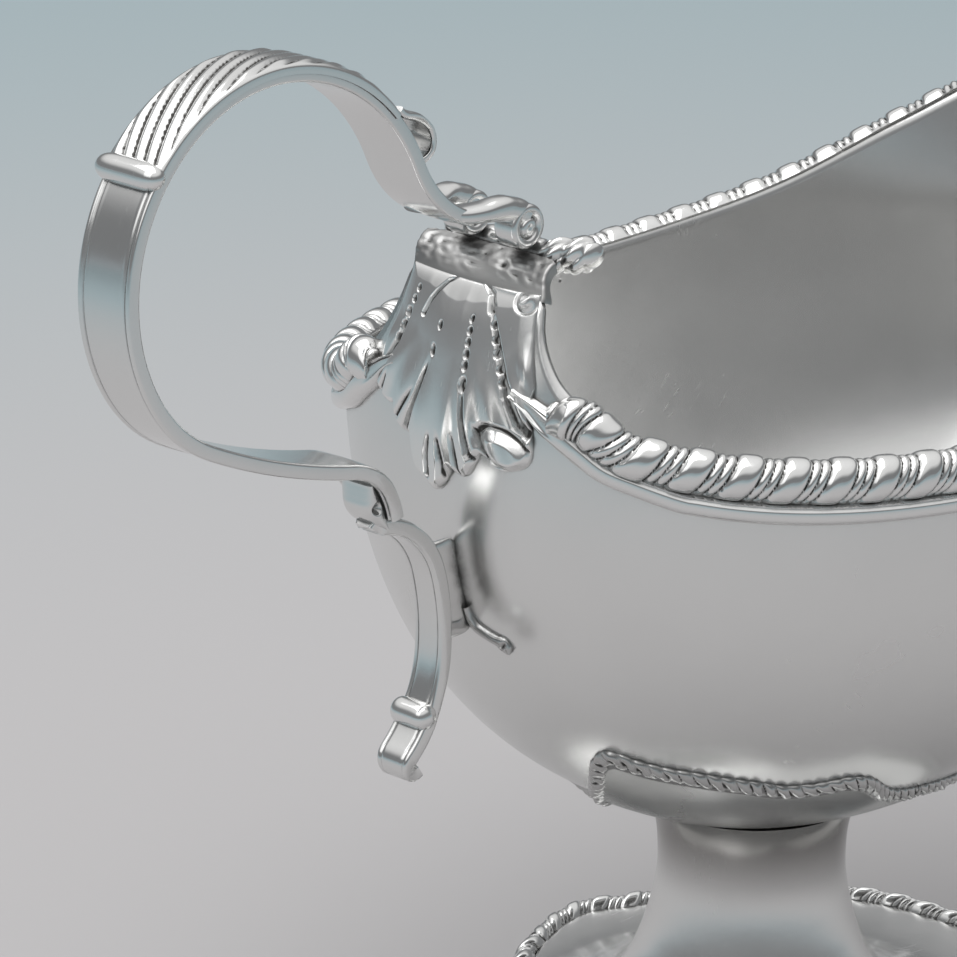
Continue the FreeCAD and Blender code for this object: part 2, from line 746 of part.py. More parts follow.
dish_root = "stem_foot_radius - 2 * stem_wall"
dish_bend = "stem_foot_radius + foot_bend_run"
dish_edge = "2 * foot_reach"
bend_level = "foot_flange_level + foot_bend_rise"
foot_dish = turned_body(
    "foot_dish",
    [
        (dish_root, "foot_crown_level", None),
        ("stem_foot_radius", "foot_crown_level", None),
        (dish_bend, bend_level, None),
        (dish_edge, "foot_flange_level", None),
        (dish_edge, "foot_flange_level - foot_wall", None),
        (dish_bend, f"{bend_level} - foot_wall", None),
        (dish_root, "foot_crown_level - foot_wall", None),
    ],
)
plate_edge = padded_body("plate_edge", foot_outline("foot_border_width"), "0", "foot_crown_level")
foot_plate = doc.addObject("Part::Common", "foot_plate_common")
foot_plate.Base = foot_dish
foot_plate.Tool = plate_edge
keep(foot_plate, "foot_plate")

border = foot_ring("foot_border", "foot_border_width", "foot_wire_height", "foot_border_top")
block = "2 * foot_reach"
for label, sx, sy in QUARTERS:
    corner = Vector(min(0, sx) * size(block), min(0, sy) * size(block), 0)
    quarter_block = primitive(
        "Part::Box", f"foot_block_{label}", corner, Length=block, Width=block, Height=block
    )
    quarter = doc.addObject("Part::Common", f"foot_quarter_{label}")
    quarter.Base = border
    quarter.Tool = quarter_block
    keep(quarter, f"foot_gadroon_{label}")
keep(foot_ring("foot_wire", "foot_wire_width", "0", "foot_wire_height"), "foot_base_wire")

# ---------------------------------------------------------------- checks and export

doc.recompute()
for obj in doc.Objects:
    if "Invalid" in obj.State or "Error" in obj.State:
        raise RuntimeError(f"{obj.Label} failed: {obj.State}")
for obj in subparts:
    shape = obj.Shape
    if shape.isNull() or not shape.isValid() or len(shape.Solids) != 1:
        raise RuntimeError(f"{obj.Label} isn't one valid solid")
    print(f"{obj.Label:28s} volume {shape.Volume:9.1f}")
for obj in subparts:
    obj.Shape.exportStep(os.path.join("parts", f"{obj.Label}.step"))
print(len(subparts), "parts written")
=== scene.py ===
"""Looks of the pedestal sauce boat: its silver pieces, the finishes, the pale floor and the light."""
import math

import bmesh
import bpy
import numpy as np
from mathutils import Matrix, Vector, noise


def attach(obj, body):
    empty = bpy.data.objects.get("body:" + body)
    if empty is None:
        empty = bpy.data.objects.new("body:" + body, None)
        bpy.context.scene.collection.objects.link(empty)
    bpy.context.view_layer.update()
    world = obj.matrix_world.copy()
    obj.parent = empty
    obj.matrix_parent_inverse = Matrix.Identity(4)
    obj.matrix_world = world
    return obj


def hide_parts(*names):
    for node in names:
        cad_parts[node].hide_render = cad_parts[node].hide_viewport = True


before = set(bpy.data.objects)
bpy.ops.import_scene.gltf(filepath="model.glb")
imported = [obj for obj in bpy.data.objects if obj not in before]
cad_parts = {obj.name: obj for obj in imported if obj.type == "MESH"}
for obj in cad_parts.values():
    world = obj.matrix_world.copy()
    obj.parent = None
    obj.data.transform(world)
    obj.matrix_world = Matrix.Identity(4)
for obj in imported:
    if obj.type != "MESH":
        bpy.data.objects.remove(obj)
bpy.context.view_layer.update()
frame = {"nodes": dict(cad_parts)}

MM = 0.001

# ---- sizes in millimetres, as in the CAD part

BOWL_BASE, BELLY_LEVEL, BELLY_OFFSET = 38.9, 105.0, 8.0
REAR_REACH, FRONT_REACH, BELLY_HALF = 67.4, 74.0, 50.0
FLARE_LEVEL, LIP_FLARE, LIP_LEVEL = 90.0, 11.0, 132.6
BODY_WALL = 1.0
RIM_LOW, RIM_BACK_RISE, LIP_RISE = 103.6, 9.1, 29.0
NECK_BASE_LEVEL, NECK_TOP_LEVEL = 112.7, 124.0
NECK_BASE_HALF, NECK_HALF, NECK_LEAN = 17.6, 11.3, 4.0
PLAN_POWER, UNDERSIDE_POWER, LIP_SHARPNESS = 2.15, 2.2, 0.2

GADROON_DEPTH, GADROON_DROP = 3.1, 4.7
GADROON_PITCH, GADROON_PHASE, GADROON_SLANT = 5.86, 0.749, 1.1
BORDER_BACK_X, LIP_START_X = -56.4, 58.0
WIRE_DEPTH, WIRE_DROP = 2.0, 3.3

STRAP_WALL, STRAP_WIDTH, CAP_DEPTH, CAP_WIDTH = 2.0, 8.8, 0.9, 9.4
HANDLE_FOOT, FOOT_HEADING = (-71.8, 98.5), 100.2
HEEL_ARCS = [(10.1, 67.9), (-99.9, 14.3), (-20.3, 32.0), (-23.3, 69.5)]
CROWN_ARCS = [(-23.3, 58.2), (-25.7, 42.6)]
FALL_ARCS = [(-25.7, 17.8), (15.4, 48.0)]
THUMB_ARCS = [(3.1, 33.0), (-11.7, 24.0), (-2.6, 150.0)]
LOWER_ARCS = [(-12.0, 66.0), (-31.2, 19.8), (-18.8, 27.0), (-18.8, 16.6), (1.35, 170.0)]
LOWER_WALL, LOWER_WIDTH, LOWER_HEADING = 2.2, 4.8, -8.7
BAND_RADIUS, BAND_HALF, COLLAR_RADIUS, COLLAR_HALF = 1.75, 5.3, 1.85, 3.2

CREST_START, CREST_HEADING, CREST_ROLL = (-54.5, 124.0), 67.2, [(-5.6, 58.0)]
CREST_WALL, BAR_CENTRE, BAR_RADIUS = 1.8, (-48.26, 127.68), 2.0
CURL_CENTRE, CURL_SPREAD = (-51.4, 131.9), 4.5

STEM_PROFILE = [
    (14.9, 40.3), (14.0, 38.6), (13.2, 35.8), (12.9, 32.0), (13.0, 28.5),
    (13.7, 24.5), (14.9, 20.2), (16.7, 15.9), (19.6, 11.9), (24.3, 9.3),
]


# ---- small tools

def clamp(value, low=0.0, high=1.0):
    return min(high, max(low, value))


def ease(value, start, end):
    """0 before start, 1 after end, smooth between them."""
    share = clamp((value - start) / (end - start))
    return share * share * (3 - 2 * share)


def hump(value, centre, reach):
    """1 at the centre, falling smoothly to 0 at a distance of reach."""
    return 1 - ease(abs(value - centre), 0.0, reach)


def through(points):
    """A smooth curve through (x, y) points in order of x, as a function of x."""
    xs, ys = zip(*points)
    last = len(xs) - 1
    slopes = []
    for i in range(last + 1):
        before, after = max(0, i - 1), min(last, i + 1)
        slopes.append((ys[after] - ys[before]) / (xs[after] - xs[before]))

    def value(x):
        i = 0
        while i < last - 1 and x > xs[i + 1]:
            i += 1
        run = xs[i + 1] - xs[i]
        t = clamp((x - xs[i]) / run)
        rise = (ys[i + 1] - ys[i]) * (t * t * (3 - 2 * t))
        ease_in = slopes[i] * run * t * (1 - t) ** 2
        ease_out = slopes[i + 1] * run * t * t * (1 - t)
        return ys[i] + rise + ease_in - ease_out

    return value


def smooth_run(points, count):
    """Evenly spaced places on a smooth line through a few points in space."""
    points = [Vector(p) for p in points]
    steps = 24
    fine = []
    for i in range(len(points) - 1):
        a, b = points[i], points[i + 1]
        before = points[i - 1] if i else a * 2 - b
        after = points[i + 2] if i + 2 < len(points) else b * 2 - a
        for step in range(steps):
            t = step / steps
            fine.append(
                0.5 * (2 * a + (b - before) * t + (2 * before - 5 * a + 4 * b - after) * t * t
                       + (3 * a - before - 3 * b + after) * t * t * t)
            )
    fine.append(points[-1])
    return evenly(fine, count)


def lengths_along(line):
    """The length of a line up to each of its places."""
    lengths = [0.0]
    for a, b in zip(line, line[1:]):
        lengths.append(lengths[-1] + (b - a).length)
    return lengths


def evenly(line, count):
    """count + 1 places spread evenly along a line of close points."""
    lengths = lengths_along(line)
    spread = []
    i = 0
    for step in range(count + 1):
        target = lengths[-1] * step / count
        while i < len(line) - 2 and lengths[i + 1] < target:
            i += 1
        run = lengths[i + 1] - lengths[i]
        t = clamp((target - lengths[i]) / run) if run > 1e-9 else 0.0
        spread.append(line[i].lerp(line[i + 1], t))
    return spread


def ways(line):
    """At each place of a line, the way from the place before it to the one after it."""
    last = len(line) - 1
    return [line[min(i + 1, last)] - line[max(i - 1, 0)] for i in range(last + 1)]


def on_side(side, *vectors):
    """Vectors of the +Y side, mirrored for side -1."""
    return tuple(Vector((v.x, v.y * side, v.z)) for v in vectors)


def flattened(value, power):
    """A sine or cosine bent by a power, which squares a round outline."""
    return math.copysign(abs(value) ** power, value)


def mesh_of(name, bm):
    mesh = bpy.data.meshes.new(name)
    bm.to_mesh(mesh)
    bm.free()
    return mesh


def merged(bm, other):
    """Adds another mesh's faces to a mesh."""
    spare = mesh_of("spare", other)
    bm.from_mesh(spare)
    bpy.data.meshes.remove(spare)
    return bm


def added(name, data):
    """A new object in the scene."""
    obj = bpy.data.objects.new(name, data)
    bpy.context.scene.collection.objects.link(obj)
    return obj


def grid(across, along, place):
    """A sheet of cells; place(u, v) gives each corner in millimetres, u and v from 0 to 1."""
    bm = bmesh.new()
    bmesh.ops.create_grid(bm, x_segments=across, y_segments=along, size=0.5)
    for vert in bm.verts:
        vert.co = Vector(place(vert.co.x + 0.5, vert.co.y + 0.5)) * MM
    return bm


def weld(bm):
    """Joins the corners of a mesh that meet."""
    bmesh.ops.remove_doubles(bm, verts=bm.verts, dist=1e-7)
    return bm


def closed(bm):
    """Joins the corners of a mesh that meet and fills its open ends."""
    bmesh.ops.holes_fill(weld(bm), edges=bm.edges, sides=0)
    return bm


def swept(frames, around, section):
    """A closed bar along frames (place, across, out); section(t, s) gives offsets, t round and s along."""
    last = len(frames) - 1

    def place(u, v):
        point, across, out = frames[round(v * last)]
        a, b = section(u % 1.0, v)
        return point + across * a + out * b

    return closed(grid(around, last, place))


def lens(across, along, top, bottom):
    """A closed pad: an upper and a lower sheet that share their edge."""

    def low(u, v):
        inside = min(u, 1 - u, v, 1 - v) > 1e-6
        return bottom(u, v) if inside else top(u, v)

    return weld(merged(grid(across, along, top), grid(across, along, low)))


def turned(profile, steps):
    """A ring turned about the Z axis from (radius, level) points, closed if its ends meet."""
    bm = bmesh.new()
    verts = [bm.verts.new((radius * MM, 0, level * MM)) for radius, level in profile]
    edges = [bm.edges.new(pair) for pair in zip(verts, verts[1:])]
    bmesh.ops.spin(
        bm, geom=verts + edges, cent=(0, 0, 0), axis=(0, 0, 1),
        angle=math.tau, steps=steps, use_merge=True,
    )
    return weld(bm)


def strap(frames, around, half, top, bottom):
    """A bar with two faces: top(w, s) and bottom(w, s), at a distance w from its middle line."""
    face, edge = 0.48, 0.02

    def section(t, s):
        if t < face:
            w = -half(s) * math.cos(math.pi * t / face)
            return w, top(w, s)
        if t < 0.5:
            w, share = half(s), (t - face) / edge
            return w, top(w, s) * (1 - share) + bottom(w, s) * share
        if t < 0.5 + face:
            w = half(s) * math.cos(math.pi * (t - 0.5) / face)
            return w, bottom(w, s)
        w, share = -half(s), (t - 0.5 - face) / edge
        return w, bottom(w, s) * (1 - share) + top(w, s) * share

    return swept(frames, around, section)


def edge_drop(w, half, radius):
    """How far a face with a rounded edge has dropped at a distance w from the middle."""
    over = clamp((abs(w) - half + radius) / radius)
    return radius * (1 - math.sqrt(max(0.0, 1 - over * over)))


def arc_run(start, heading, arcs, step=0.7):
    """Frames along tangent arcs in the XZ plane. A positive radius turns left."""
    x, z = start

    def stop():
        turn = math.radians(heading + 90)
        return Vector((x, 0, z)), Vector((0, 1, 0)), Vector((math.cos(turn), 0, math.sin(turn)))

    frames = [stop()]
    for radius, sweep in arcs:
        count = max(2, math.ceil(math.radians(sweep) * abs(radius) / step))
        turn = math.copysign(sweep, radius) / count
        chord = 2 * abs(radius) * math.sin(math.radians(abs(turn)) / 2)
        for _ in range(count):
            way = math.radians(heading + turn / 2)
            x += chord * math.cos(way)
            z += chord * math.sin(way)
            heading += turn
            frames.append(stop())
    return frames


def heading_of(frame_stop):
    out = frame_stop[2]
    return math.degrees(math.atan2(out.z, out.x)) - 90


def spot(frame_stop, out):
    """A place at a distance outwards from a frame."""
    return frame_stop[0] + frame_stop[2] * out


def run_on(start, frame_stop, arcs, step=0.7):
    """Frames along arcs from a place, in the way in which another run has stopped."""
    return arc_run((start.x, start.z), heading_of(frame_stop), arcs, step)


# ---- the bowl's form

def rise_at(level):
    return clamp((level - BOWL_BASE) / (BELLY_LEVEL - BOWL_BASE))


def rounding(level):
    return (1 - (1 - rise_at(level)) ** UNDERSIDE_POWER) ** (1 / UNDERSIDE_POWER)


def rear_run(level):
    lean = max(0.0, level - BELLY_LEVEL) / (NECK_TOP_LEVEL - BELLY_LEVEL)
    return REAR_REACH * rounding(level) - NECK_LEAN * lean**2


def bowl(angle, level):
    """A point of the bowl's outer face at an angle from the lip and a level."""
    share = rounding(level)
    u = math.cos(angle)
    flare = max(0.0, level - FLARE_LEVEL) / (LIP_LEVEL - FLARE_LEVEL)
    reach = FRONT_REACH * share + LIP_FLARE * flare**2 if u > 0 else rear_run(level)
    power = 1 / PLAN_POWER + (LIP_SHARPNESS * rise_at(level)**2 if u > 0 else 0.0)
    y = BELLY_HALF * share * max(0.0, 1 - abs(u) ** PLAN_POWER) ** power
    return Vector((BELLY_OFFSET + reach * u, math.copysign(y, math.sin(angle)), level))


ANGLE_STEP = 0.002


def bowl_normal(angle, level):
    along = bowl(angle + ANGLE_STEP, level) - bowl(angle - ANGLE_STEP, level)
    up = bowl(angle, level + 0.1) - bowl(angle, level - 0.1)
    return along.cross(up).normalized()


def bowl_rear(y, level):
    """The bowl's outer face behind the widest line, at a distance to the side and a level."""
    half = BELLY_HALF * rounding(level)
    share = max(0.0, 1 - min(1.0, abs(y) / half) ** PLAN_POWER) ** (1 / PLAN_POWER)
    return Vector((BELLY_OFFSET - rear_run(level) * share, y, level))


def rear_normal(y, level):
    side = bowl_rear(y + 0.2, level) - bowl_rear(y - 0.2, level)
    up = bowl_rear(y, level + 0.2) - bowl_rear(y, level - 0.2)
    return up.cross(side).normalized()


def bowl_under(x, y):
    """The bowl's underside at a place in plan."""
    reach = FRONT_REACH if x > BELLY_OFFSET else REAR_REACH
    share = (abs((x - BELLY_OFFSET) / reach) ** PLAN_POWER + abs(y / BELLY_HALF) ** PLAN_POWER)
    share = min(0.999, share ** (1 / PLAN_POWER))
    rise = 1 - (1 - share**UNDERSIDE_POWER) ** (1 / UNDERSIDE_POWER)
    return Vector((x, y, BOWL_BASE + (BELLY_LEVEL - BOWL_BASE) * rise))


def under_normal(x, y):
    step = 0.2
    along = bowl_under(x + step, y) - bowl_under(x - step, y)
    side = bowl_under(x, y + step) - bowl_under(x, y - step)
    return side.cross(along).normalized()


RIM_SHARES = [
    (-0.923, 1.0), (-0.905, 0.7), (-0.87, 0.53), (-0.76, 0.31), (-0.6, 0.16), (-0.35, 0.06), (0.0, 0.0),
]
LIP_SHARES = [(0.27, 0.045), (0.49, 0.19), (0.69, 0.49), (0.8, 0.69), (0.9, 0.86), (1.03, 1.02)]
rim_level = through(
    [(BELLY_OFFSET + s * REAR_REACH, RIM_LOW + r * RIM_BACK_RISE) for s, r in RIM_SHARES]
    + [(BELLY_OFFSET + s * (FRONT_REACH + LIP_FLARE), RIM_LOW + r * LIP_RISE) for s, r in LIP_SHARES]
)
NECK_SHARES = [(0.0, 1.0), (0.2, 0.62), (0.5, 0.27), (0.78, 0.07), (1.0, 0.0)]
neck_half_at = through([
    (NECK_BASE_LEVEL + r * (NECK_TOP_LEVEL - NECK_BASE_LEVEL),
     NECK_HALF + s * (NECK_BASE_HALF - NECK_HALF)) for r, s in NECK_SHARES
])


def rim_stop(angle, drop=0.0):
    """The level at which the bowl meets the rim line lowered by a drop."""
    level = RIM_LOW
    for _ in range(8):
        level = rim_level(bowl(angle, level).x) - drop
    return level


def wall_top(angle):
    """Where the wall ends at an angle: on the rim line, or on the neck's hollow sides."""
    rim = rim_stop(angle) - 0.4
    if math.cos(angle) > 0 or abs(bowl(angle, NECK_BASE_LEVEL).y) > NECK_BASE_HALF:
        return rim
    low, high = NECK_BASE_LEVEL, NECK_TOP_LEVEL
    if abs(bowl(angle, high).y) <= NECK_HALF:
        return high
    for _ in range(18):
        middle = (low + high) / 2
        if abs(bowl(angle, middle).y) < neck_half_at(middle):
            low = middle
        else:
            high = middle
    return max(rim, (low + high) / 2)


# ---- finishes

class Finish:
    """A material being built: each call adds a node and joins its inputs by name."""

    def __init__(self, name):
        self.material = bpy.data.materials.new(name)
        self.material.use_nodes = True
        self.tree = self.material.node_tree
        self.shader = self.tree.nodes["Principled BSDF"]

    def add(self, kind, inputs=None, **settings):
        node = self.tree.nodes.new("ShaderNode" + kind)
        for name, value in settings.items():
            setattr(node, name, value)
        for name, value in (inputs or {}).items():
            self.join(node.inputs[name], value)
        return node

    def join(self, socket, value):
        if isinstance(value, bpy.types.NodeSocket):
            self.tree.links.new(value, socket)
        else:
            socket.default_value = value

    def noise(self, vector, scale, detail=3.0, roughness=0.55):
        inputs = {"Vector": vector, "Scale": scale, "Detail": detail, "Roughness": roughness}
        return self.add("TexNoise", inputs).outputs[0]

    def ramp(self, value, low, high, to_low=0.0, to_high=1.0):
        inputs = {"Value": value, "From Min": low, "From Max": high, "To Min": to_low, "To Max": to_high}
        return self.add("MapRange", inputs, interpolation_type="SMOOTHSTEP").outputs[0]

    def math(self, operation, a, b, limit=False):
        return self.add("Math", {0: a, 1: b}, operation=operation, use_clamp=limit).outputs[0]

    def times(self, a, b):
        return self.math("MULTIPLY", a, b)

    def blend(self, share, a, b):
        node = self.add("Mix", data_type="RGBA")
        for socket, value in ((node.inputs[0], share), (node.inputs[6], a), (node.inputs[7], b)):
            self.join(socket, value)
        return node.outputs[2]

    def mark(self, name):
        return self.add("Attribute", attribute_name=name).outputs["Fac"]

    def bump(self, height, distance, normal=None, invert=False):
        inputs = {"Height": height, "Distance": distance}
        if normal is not None:
            inputs["Normal"] = normal
        return self.add("Bump", inputs, invert=invert).outputs[0]


def hairlines(finish, coords, turn, rarity):
    """Fine straight scratches in one direction, 1 on a line and 0 between them."""
    inputs = {"Vector": coords, "Rotation": turn, "Scale": (70.0, 6500.0, 400.0)}
    lines = finish.noise(finish.add("Mapping", inputs).outputs[0], 1.0, 1.0)
    return finish.ramp(lines, rarity, rarity + 0.05)


def silver(name, tone, gloss, scratches=0.3, tarnish_and_shade_strength=1.0, ripple=1.0, dull=0.0, painted_shade_levels=(1.0, 2.0),
           corners=0.0026):
    """Worn silver: a soft polish with clouds, hairlines and pits, dark tarnish in hollows, painted shade in
    corners and between pieces, and, where its levels are given, painted shade that darkens the tone with
    height.
    """
    f = Finish(name)
    coords = f.add("TexCoord").outputs["Object"]
    clouds = f.noise(coords, 24.0, 4.0, 0.6)
    grain = f.noise(coords, 650.0, 3.0)
    lines_a = hairlines(f, coords, (0.3, 0.2, 0.9), 0.7)
    lines_b = hairlines(f, coords, (1.1, -0.4, -0.5), 0.71)
    lines = f.math("MAXIMUM", lines_a, lines_b)
    lines = f.times(lines, f.ramp(f.noise(coords, 60.0, 2.0), 0.45, 0.65))

    cells = f.add("TexVoronoi", {"Vector": coords, "Scale": 150.0})
    near = f.ramp(cells.outputs["Distance"], 0.02, 0.06, 1.0, 0.0)
    rare = f.ramp(f.add("SeparateColor", {0: cells.outputs["Color"]}).outputs[0], 0.9, 0.93)
    pits = f.times(near, rare)

    recess = f.ramp(f.mark("recess"), 0.12, 0.75)
    # painted shade: an ambient occlusion node darkens corners, creases and the joins between pieces
    shade = f.add("AmbientOcclusion", {"Distance": corners}, samples=6).outputs["AO"]
    corner = f.ramp(shade, 0.32, 0.72, 1.0, 0.0)
    uneven = f.ramp(f.noise(coords, 480.0, 4.0, 0.7), 0.3, 0.62, 0.55, 1.0)
    # real tarnish in hollows and painted corner shade, mixed into one dark mask that also roughens and dulls
    # the metal
    tarnish_and_shade = f.math("MAXIMUM", f.times(recess, 0.95), f.times(corner, 0.8))
    tarnish_and_shade = f.math("MULTIPLY", f.times(tarnish_and_shade, uneven), tarnish_and_shade_strength, True)
    film = f.times(f.ramp(clouds, 0.35, 0.75), 0.1 + dull)
    tarnish_shade_and_pits = f.math("MAXIMUM", tarnish_and_shade, f.times(pits, 0.8))

    # painted shade: between the two given heights the tone darkens to 0.42 of itself
    height = f.add("SeparateXYZ", {0: coords}).outputs["Z"]
    painted_shade = f.ramp(height, *painted_shade_levels)
    clean = f.blend(film, (tone, tone, tone * 0.99, 1.0), (tone * 0.8, tone * 0.79, tone * 0.775, 1.0))
    clean = f.blend(painted_shade, clean, (tone * 0.42, tone * 0.41, tone * 0.4, 1.0))
    # the dark colours of both the tarnish and the painted corner shade
    tarnish_and_shade_black, tarnish_and_shade_grey = (0.012, 0.012, 0.011, 1.0), (0.06, 0.057, 0.053, 1.0)
    dark = f.blend(uneven, tarnish_and_shade_black, tarnish_and_shade_grey)
    f.join(f.shader.inputs["Base Color"], f.blend(tarnish_shade_and_pits, clean, dark))
    rough = f.ramp(clouds, 0.3, 0.7, gloss * 0.85, gloss * 1.2)
    rough = f.math("ADD", rough, f.times(tarnish_and_shade, 0.3))
    rough = f.math("ADD", rough, f.times(lines, 0.12 * scratches))
    rough = f.math("SUBTRACT", rough, f.times(f.mark("crest"), gloss * 0.35))
    f.join(f.shader.inputs["Roughness"], rough)
    f.join(f.shader.inputs["Metallic"], f.math("SUBTRACT", 1.0, f.times(tarnish_and_shade, 0.4)))

    swell = f.bump(f.noise(coords, 46.0, 2.0), 0.00011 * ripple)
    fine = f.bump(grain, 0.000006, swell)
    cuts = f.math("ADD", f.times(lines, scratches), f.times(pits, 4.0))
    f.join(f.shader.inputs["Normal"], f.bump(cuts, 0.000012, fine, invert=True))
    return f.material


# ---- making pieces

def read(items, field, width, kind=float):
    """A field of a mesh's corners or edges, one row for each."""
    values = np.empty(len(items) * width, kind)
    items.foreach_get(field, values)
    return values.reshape(-1, width)


def neighbour_mean(a, b, valence, values):
    """The mean of each corner's neighbours, where a and b are the ends of the edges."""
    mean = np.empty_like(values)
    for axis in range(3):
        total = np.bincount(a, values[b, axis], len(values)) + np.bincount(b, values[a, axis], len(values))
        mean[:, axis] = total / valence
    return mean


def mark_relief(mesh, passes, depth):
    """Stores how far each corner lies below or above its relaxed surroundings, for tarnish and wear."""
    count = len(mesh.vertices)
    place, normal = read(mesh.vertices, "co", 3), read(mesh.vertices, "normal", 3)
    a, b = read(mesh.edges, "vertices", 2, int).T
    valence = np.maximum(1, np.bincount(a, minlength=count) + np.bincount(b, minlength=count))
    relaxed = place.copy()
    for _ in range(passes):
        relaxed = 0.4 * relaxed + 0.6 * neighbour_mean(a, b, valence, relaxed)
    lift = ((relaxed - place) * normal).sum(1) / (depth * MM)
    for name, values in (("recess", lift), ("crest", -lift)):
        layer = mesh.attributes.new(name, "FLOAT", "POINT")
        layer.data.foreach_set("value", np.clip(values, 0, 1).astype(np.float32))


def piece(name, bm, finish, node, slot="silver_cast", crisp=38.0, passes=10, depth=0.22, recalc=True):
    """Finishes a mesh as a piece of the boat that stands for a CAD node."""
    bmesh.ops.dissolve_degenerate(weld(bm), dist=1e-8, edges=bm.edges)
    if recalc:
        bmesh.ops.recalc_face_normals(bm, faces=bm.faces)
    mesh = mesh_of(name, bm)
    mesh.shade_smooth()
    mesh.set_sharp_from_angle(angle=math.radians(crisp))
    mark_relief(mesh, passes, depth)
    mesh.materials.append(finish)
    obj = added(name, mesh)
    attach(obj, "root")
    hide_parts(node)
    return obj


def sheet(name, bm, outward, wall, finish, node, even=False, **relief):
    """A raised sheet that gets its wall inwards; its faces are turned first if outward is negative."""
    if outward < 0:
        bmesh.ops.reverse_faces(bm, faces=bm.faces)
    obj = piece(name, bm, finish, node, "silver_sheet", recalc=False, **relief)
    solid = obj.modifiers.new("wall", "SOLIDIFY")
    solid.thickness = wall * MM
    solid.offset = -1.0
    solid.use_even_offset = even


# ---- the raised body

def body_sheet(finish):
    """The bowl and its neck as one raised sheet with a thin wall."""
    columns, rows = 400, 76
    angles = [math.tau * i / columns - 0.3 * math.sin(2 * math.tau * i / columns) for i in range(columns)]
    tops = [wall_top(angle) for angle in angles]

    def place(u, v):
        i = round(u * columns) % columns
        rise = 1 - math.cos(v * math.pi / 2) ** (2 / UNDERSIDE_POWER)
        return bowl(angles[i], BOWL_BASE + (tops[i] - BOWL_BASE) * rise)

    bm = weld(grid(columns, rows, place))
    bmesh.ops.recalc_face_normals(bm, faces=bm.faces)
    middle = Vector((BELLY_OFFSET, 0, 100.0)) * MM
    outward = sum(face.normal.dot(face.calc_center_median() - middle) for face in bm.faces)
    sheet("body_sheet", bm, outward, BODY_WALL, finish, "body", even=True, passes=2, depth=3.0)


# ---- the applied rim

def rim_angles(start_x, end_x, drop, count):
    """Angles on the +Y side whose rim places are evenly spaced between two distances."""
    steps = 1500
    fine = [math.pi * i / steps for i in range(steps + 1)]
    places = [bowl(angle, rim_stop(angle, drop)) for angle in fine]
    kept = [(p, angle) for p, angle in zip(places, fine) if end_x <= p.x <= start_x]
    lengths = lengths_along([p for p, _ in kept])
    spread = np.interp(np.linspace(0, lengths[-1], count + 1), lengths, [angle for _, angle in kept])
    return [float(angle) for angle in spread], lengths[-1]


def downwards(along, out):
    """The way down a wall, square to a line along it and to its outward side."""
    down = along.cross(out).normalized()
    return -down if down.z > 0 else down


def rim_frames(angles, drop, side):
    frames = []
    for angle in angles:
        level = rim_stop(angle, drop)
        out = bowl_normal(angle, level)
        ahead = bowl(angle + ANGLE_STEP, rim_stop(angle + ANGLE_STEP, drop))
        behind = bowl(angle - ANGLE_STEP, rim_stop(angle - ANGLE_STEP, drop))
        frames.append(on_side(side, bowl(angle, level), out, downwards(ahead - behind, out)))
    return frames


def calmed(frames, reach):
    """Frames whose directions are averaged with those of the neighbours within a reach."""
    calm = []
    for i, (point, _, _) in enumerate(frames):
        near = frames[max(0, i - reach):i + reach + 1]
        out = sum((frame[1] for frame in near), Vector()).normalized()
        down = sum((frame[2] for frame in near), Vector()).normalized()
        calm.append((point, out, down))
    return calm


def gadroon_lobe(phase):
    """Height of the border's pattern: one broad lobe, then two narrow reeds."""
    phase %= 1.0
    if phase < 0.6:
        return (1 - abs(phase / 0.3 - 1) ** 3.4) ** 0.5
    reed = (phase - 0.6) % 0.2
    return 0.66 * (1 - abs(reed / 0.1 - 1) ** 2.2) ** 0.55


LOBED_SHARE = 0.78  # of the border's outline; the rest lies on the wall


def gadroon_border(name, start_x, end_x, phase, side, finish, node):
    """A stretch of the rim's slanted gadroon on one side of the boat."""
    total = rim_angles(start_x, end_x, 0.0, 10)[1]
    angles, total = rim_angles(start_x, end_x, 0.0, round(total / 0.21))
    frames = calmed(rim_frames(angles, 0.0, side), 14)
    middle_out, middle_down = 0.45, 2.2
    groove, reach_above, reach_below = 0.95, 3.05, 2.95

    def section(t, s):
        if t > LOBED_SHARE:
            share = (t - LOBED_SHARE) / (1 - LOBED_SHARE)
            return 0.3 - share, 4.9 - 4.2 * share
        turn = math.radians(142 - 224 * t / LOBED_SHARE)
        slant = GADROON_SLANT * math.sin(turn)
        lobe = gadroon_lobe((s * total + slant) / GADROON_PITCH + phase)
        fade = ease(t, 0.0, 0.05) * (1 - ease(t, 0.7, LOBED_SHARE))
        cut = groove * (1 - lobe) * fade
        shrink = ease(s * total, total - 3.0, total) if end_x < 0 else 0.0
        reach_out = (GADROON_DEPTH - middle_out - cut) * (1 - 0.4 * shrink)
        reach_up = ((reach_above if turn > 0 else reach_below) - cut * 0.9) * (1 - 0.25 * shrink)
        return middle_out + reach_out * math.cos(turn), middle_down - reach_up * math.sin(turn)

    piece(name, swept(frames, 34, section), finish, node, crisp=60, passes=6, depth=0.16)


WIRE_FRONT_X, WIRE_BACK_X = 92.3, -48.6
WIRE_CLIMB = [  # (y, level) places on the neck, beside the shell
    (25.0, 103.2), (21.6, 104.7), (19.0, 106.7), (16.6, 108.6), (14.0, 110.4), (12.0, 111.8), (9.9, 112.9),
]


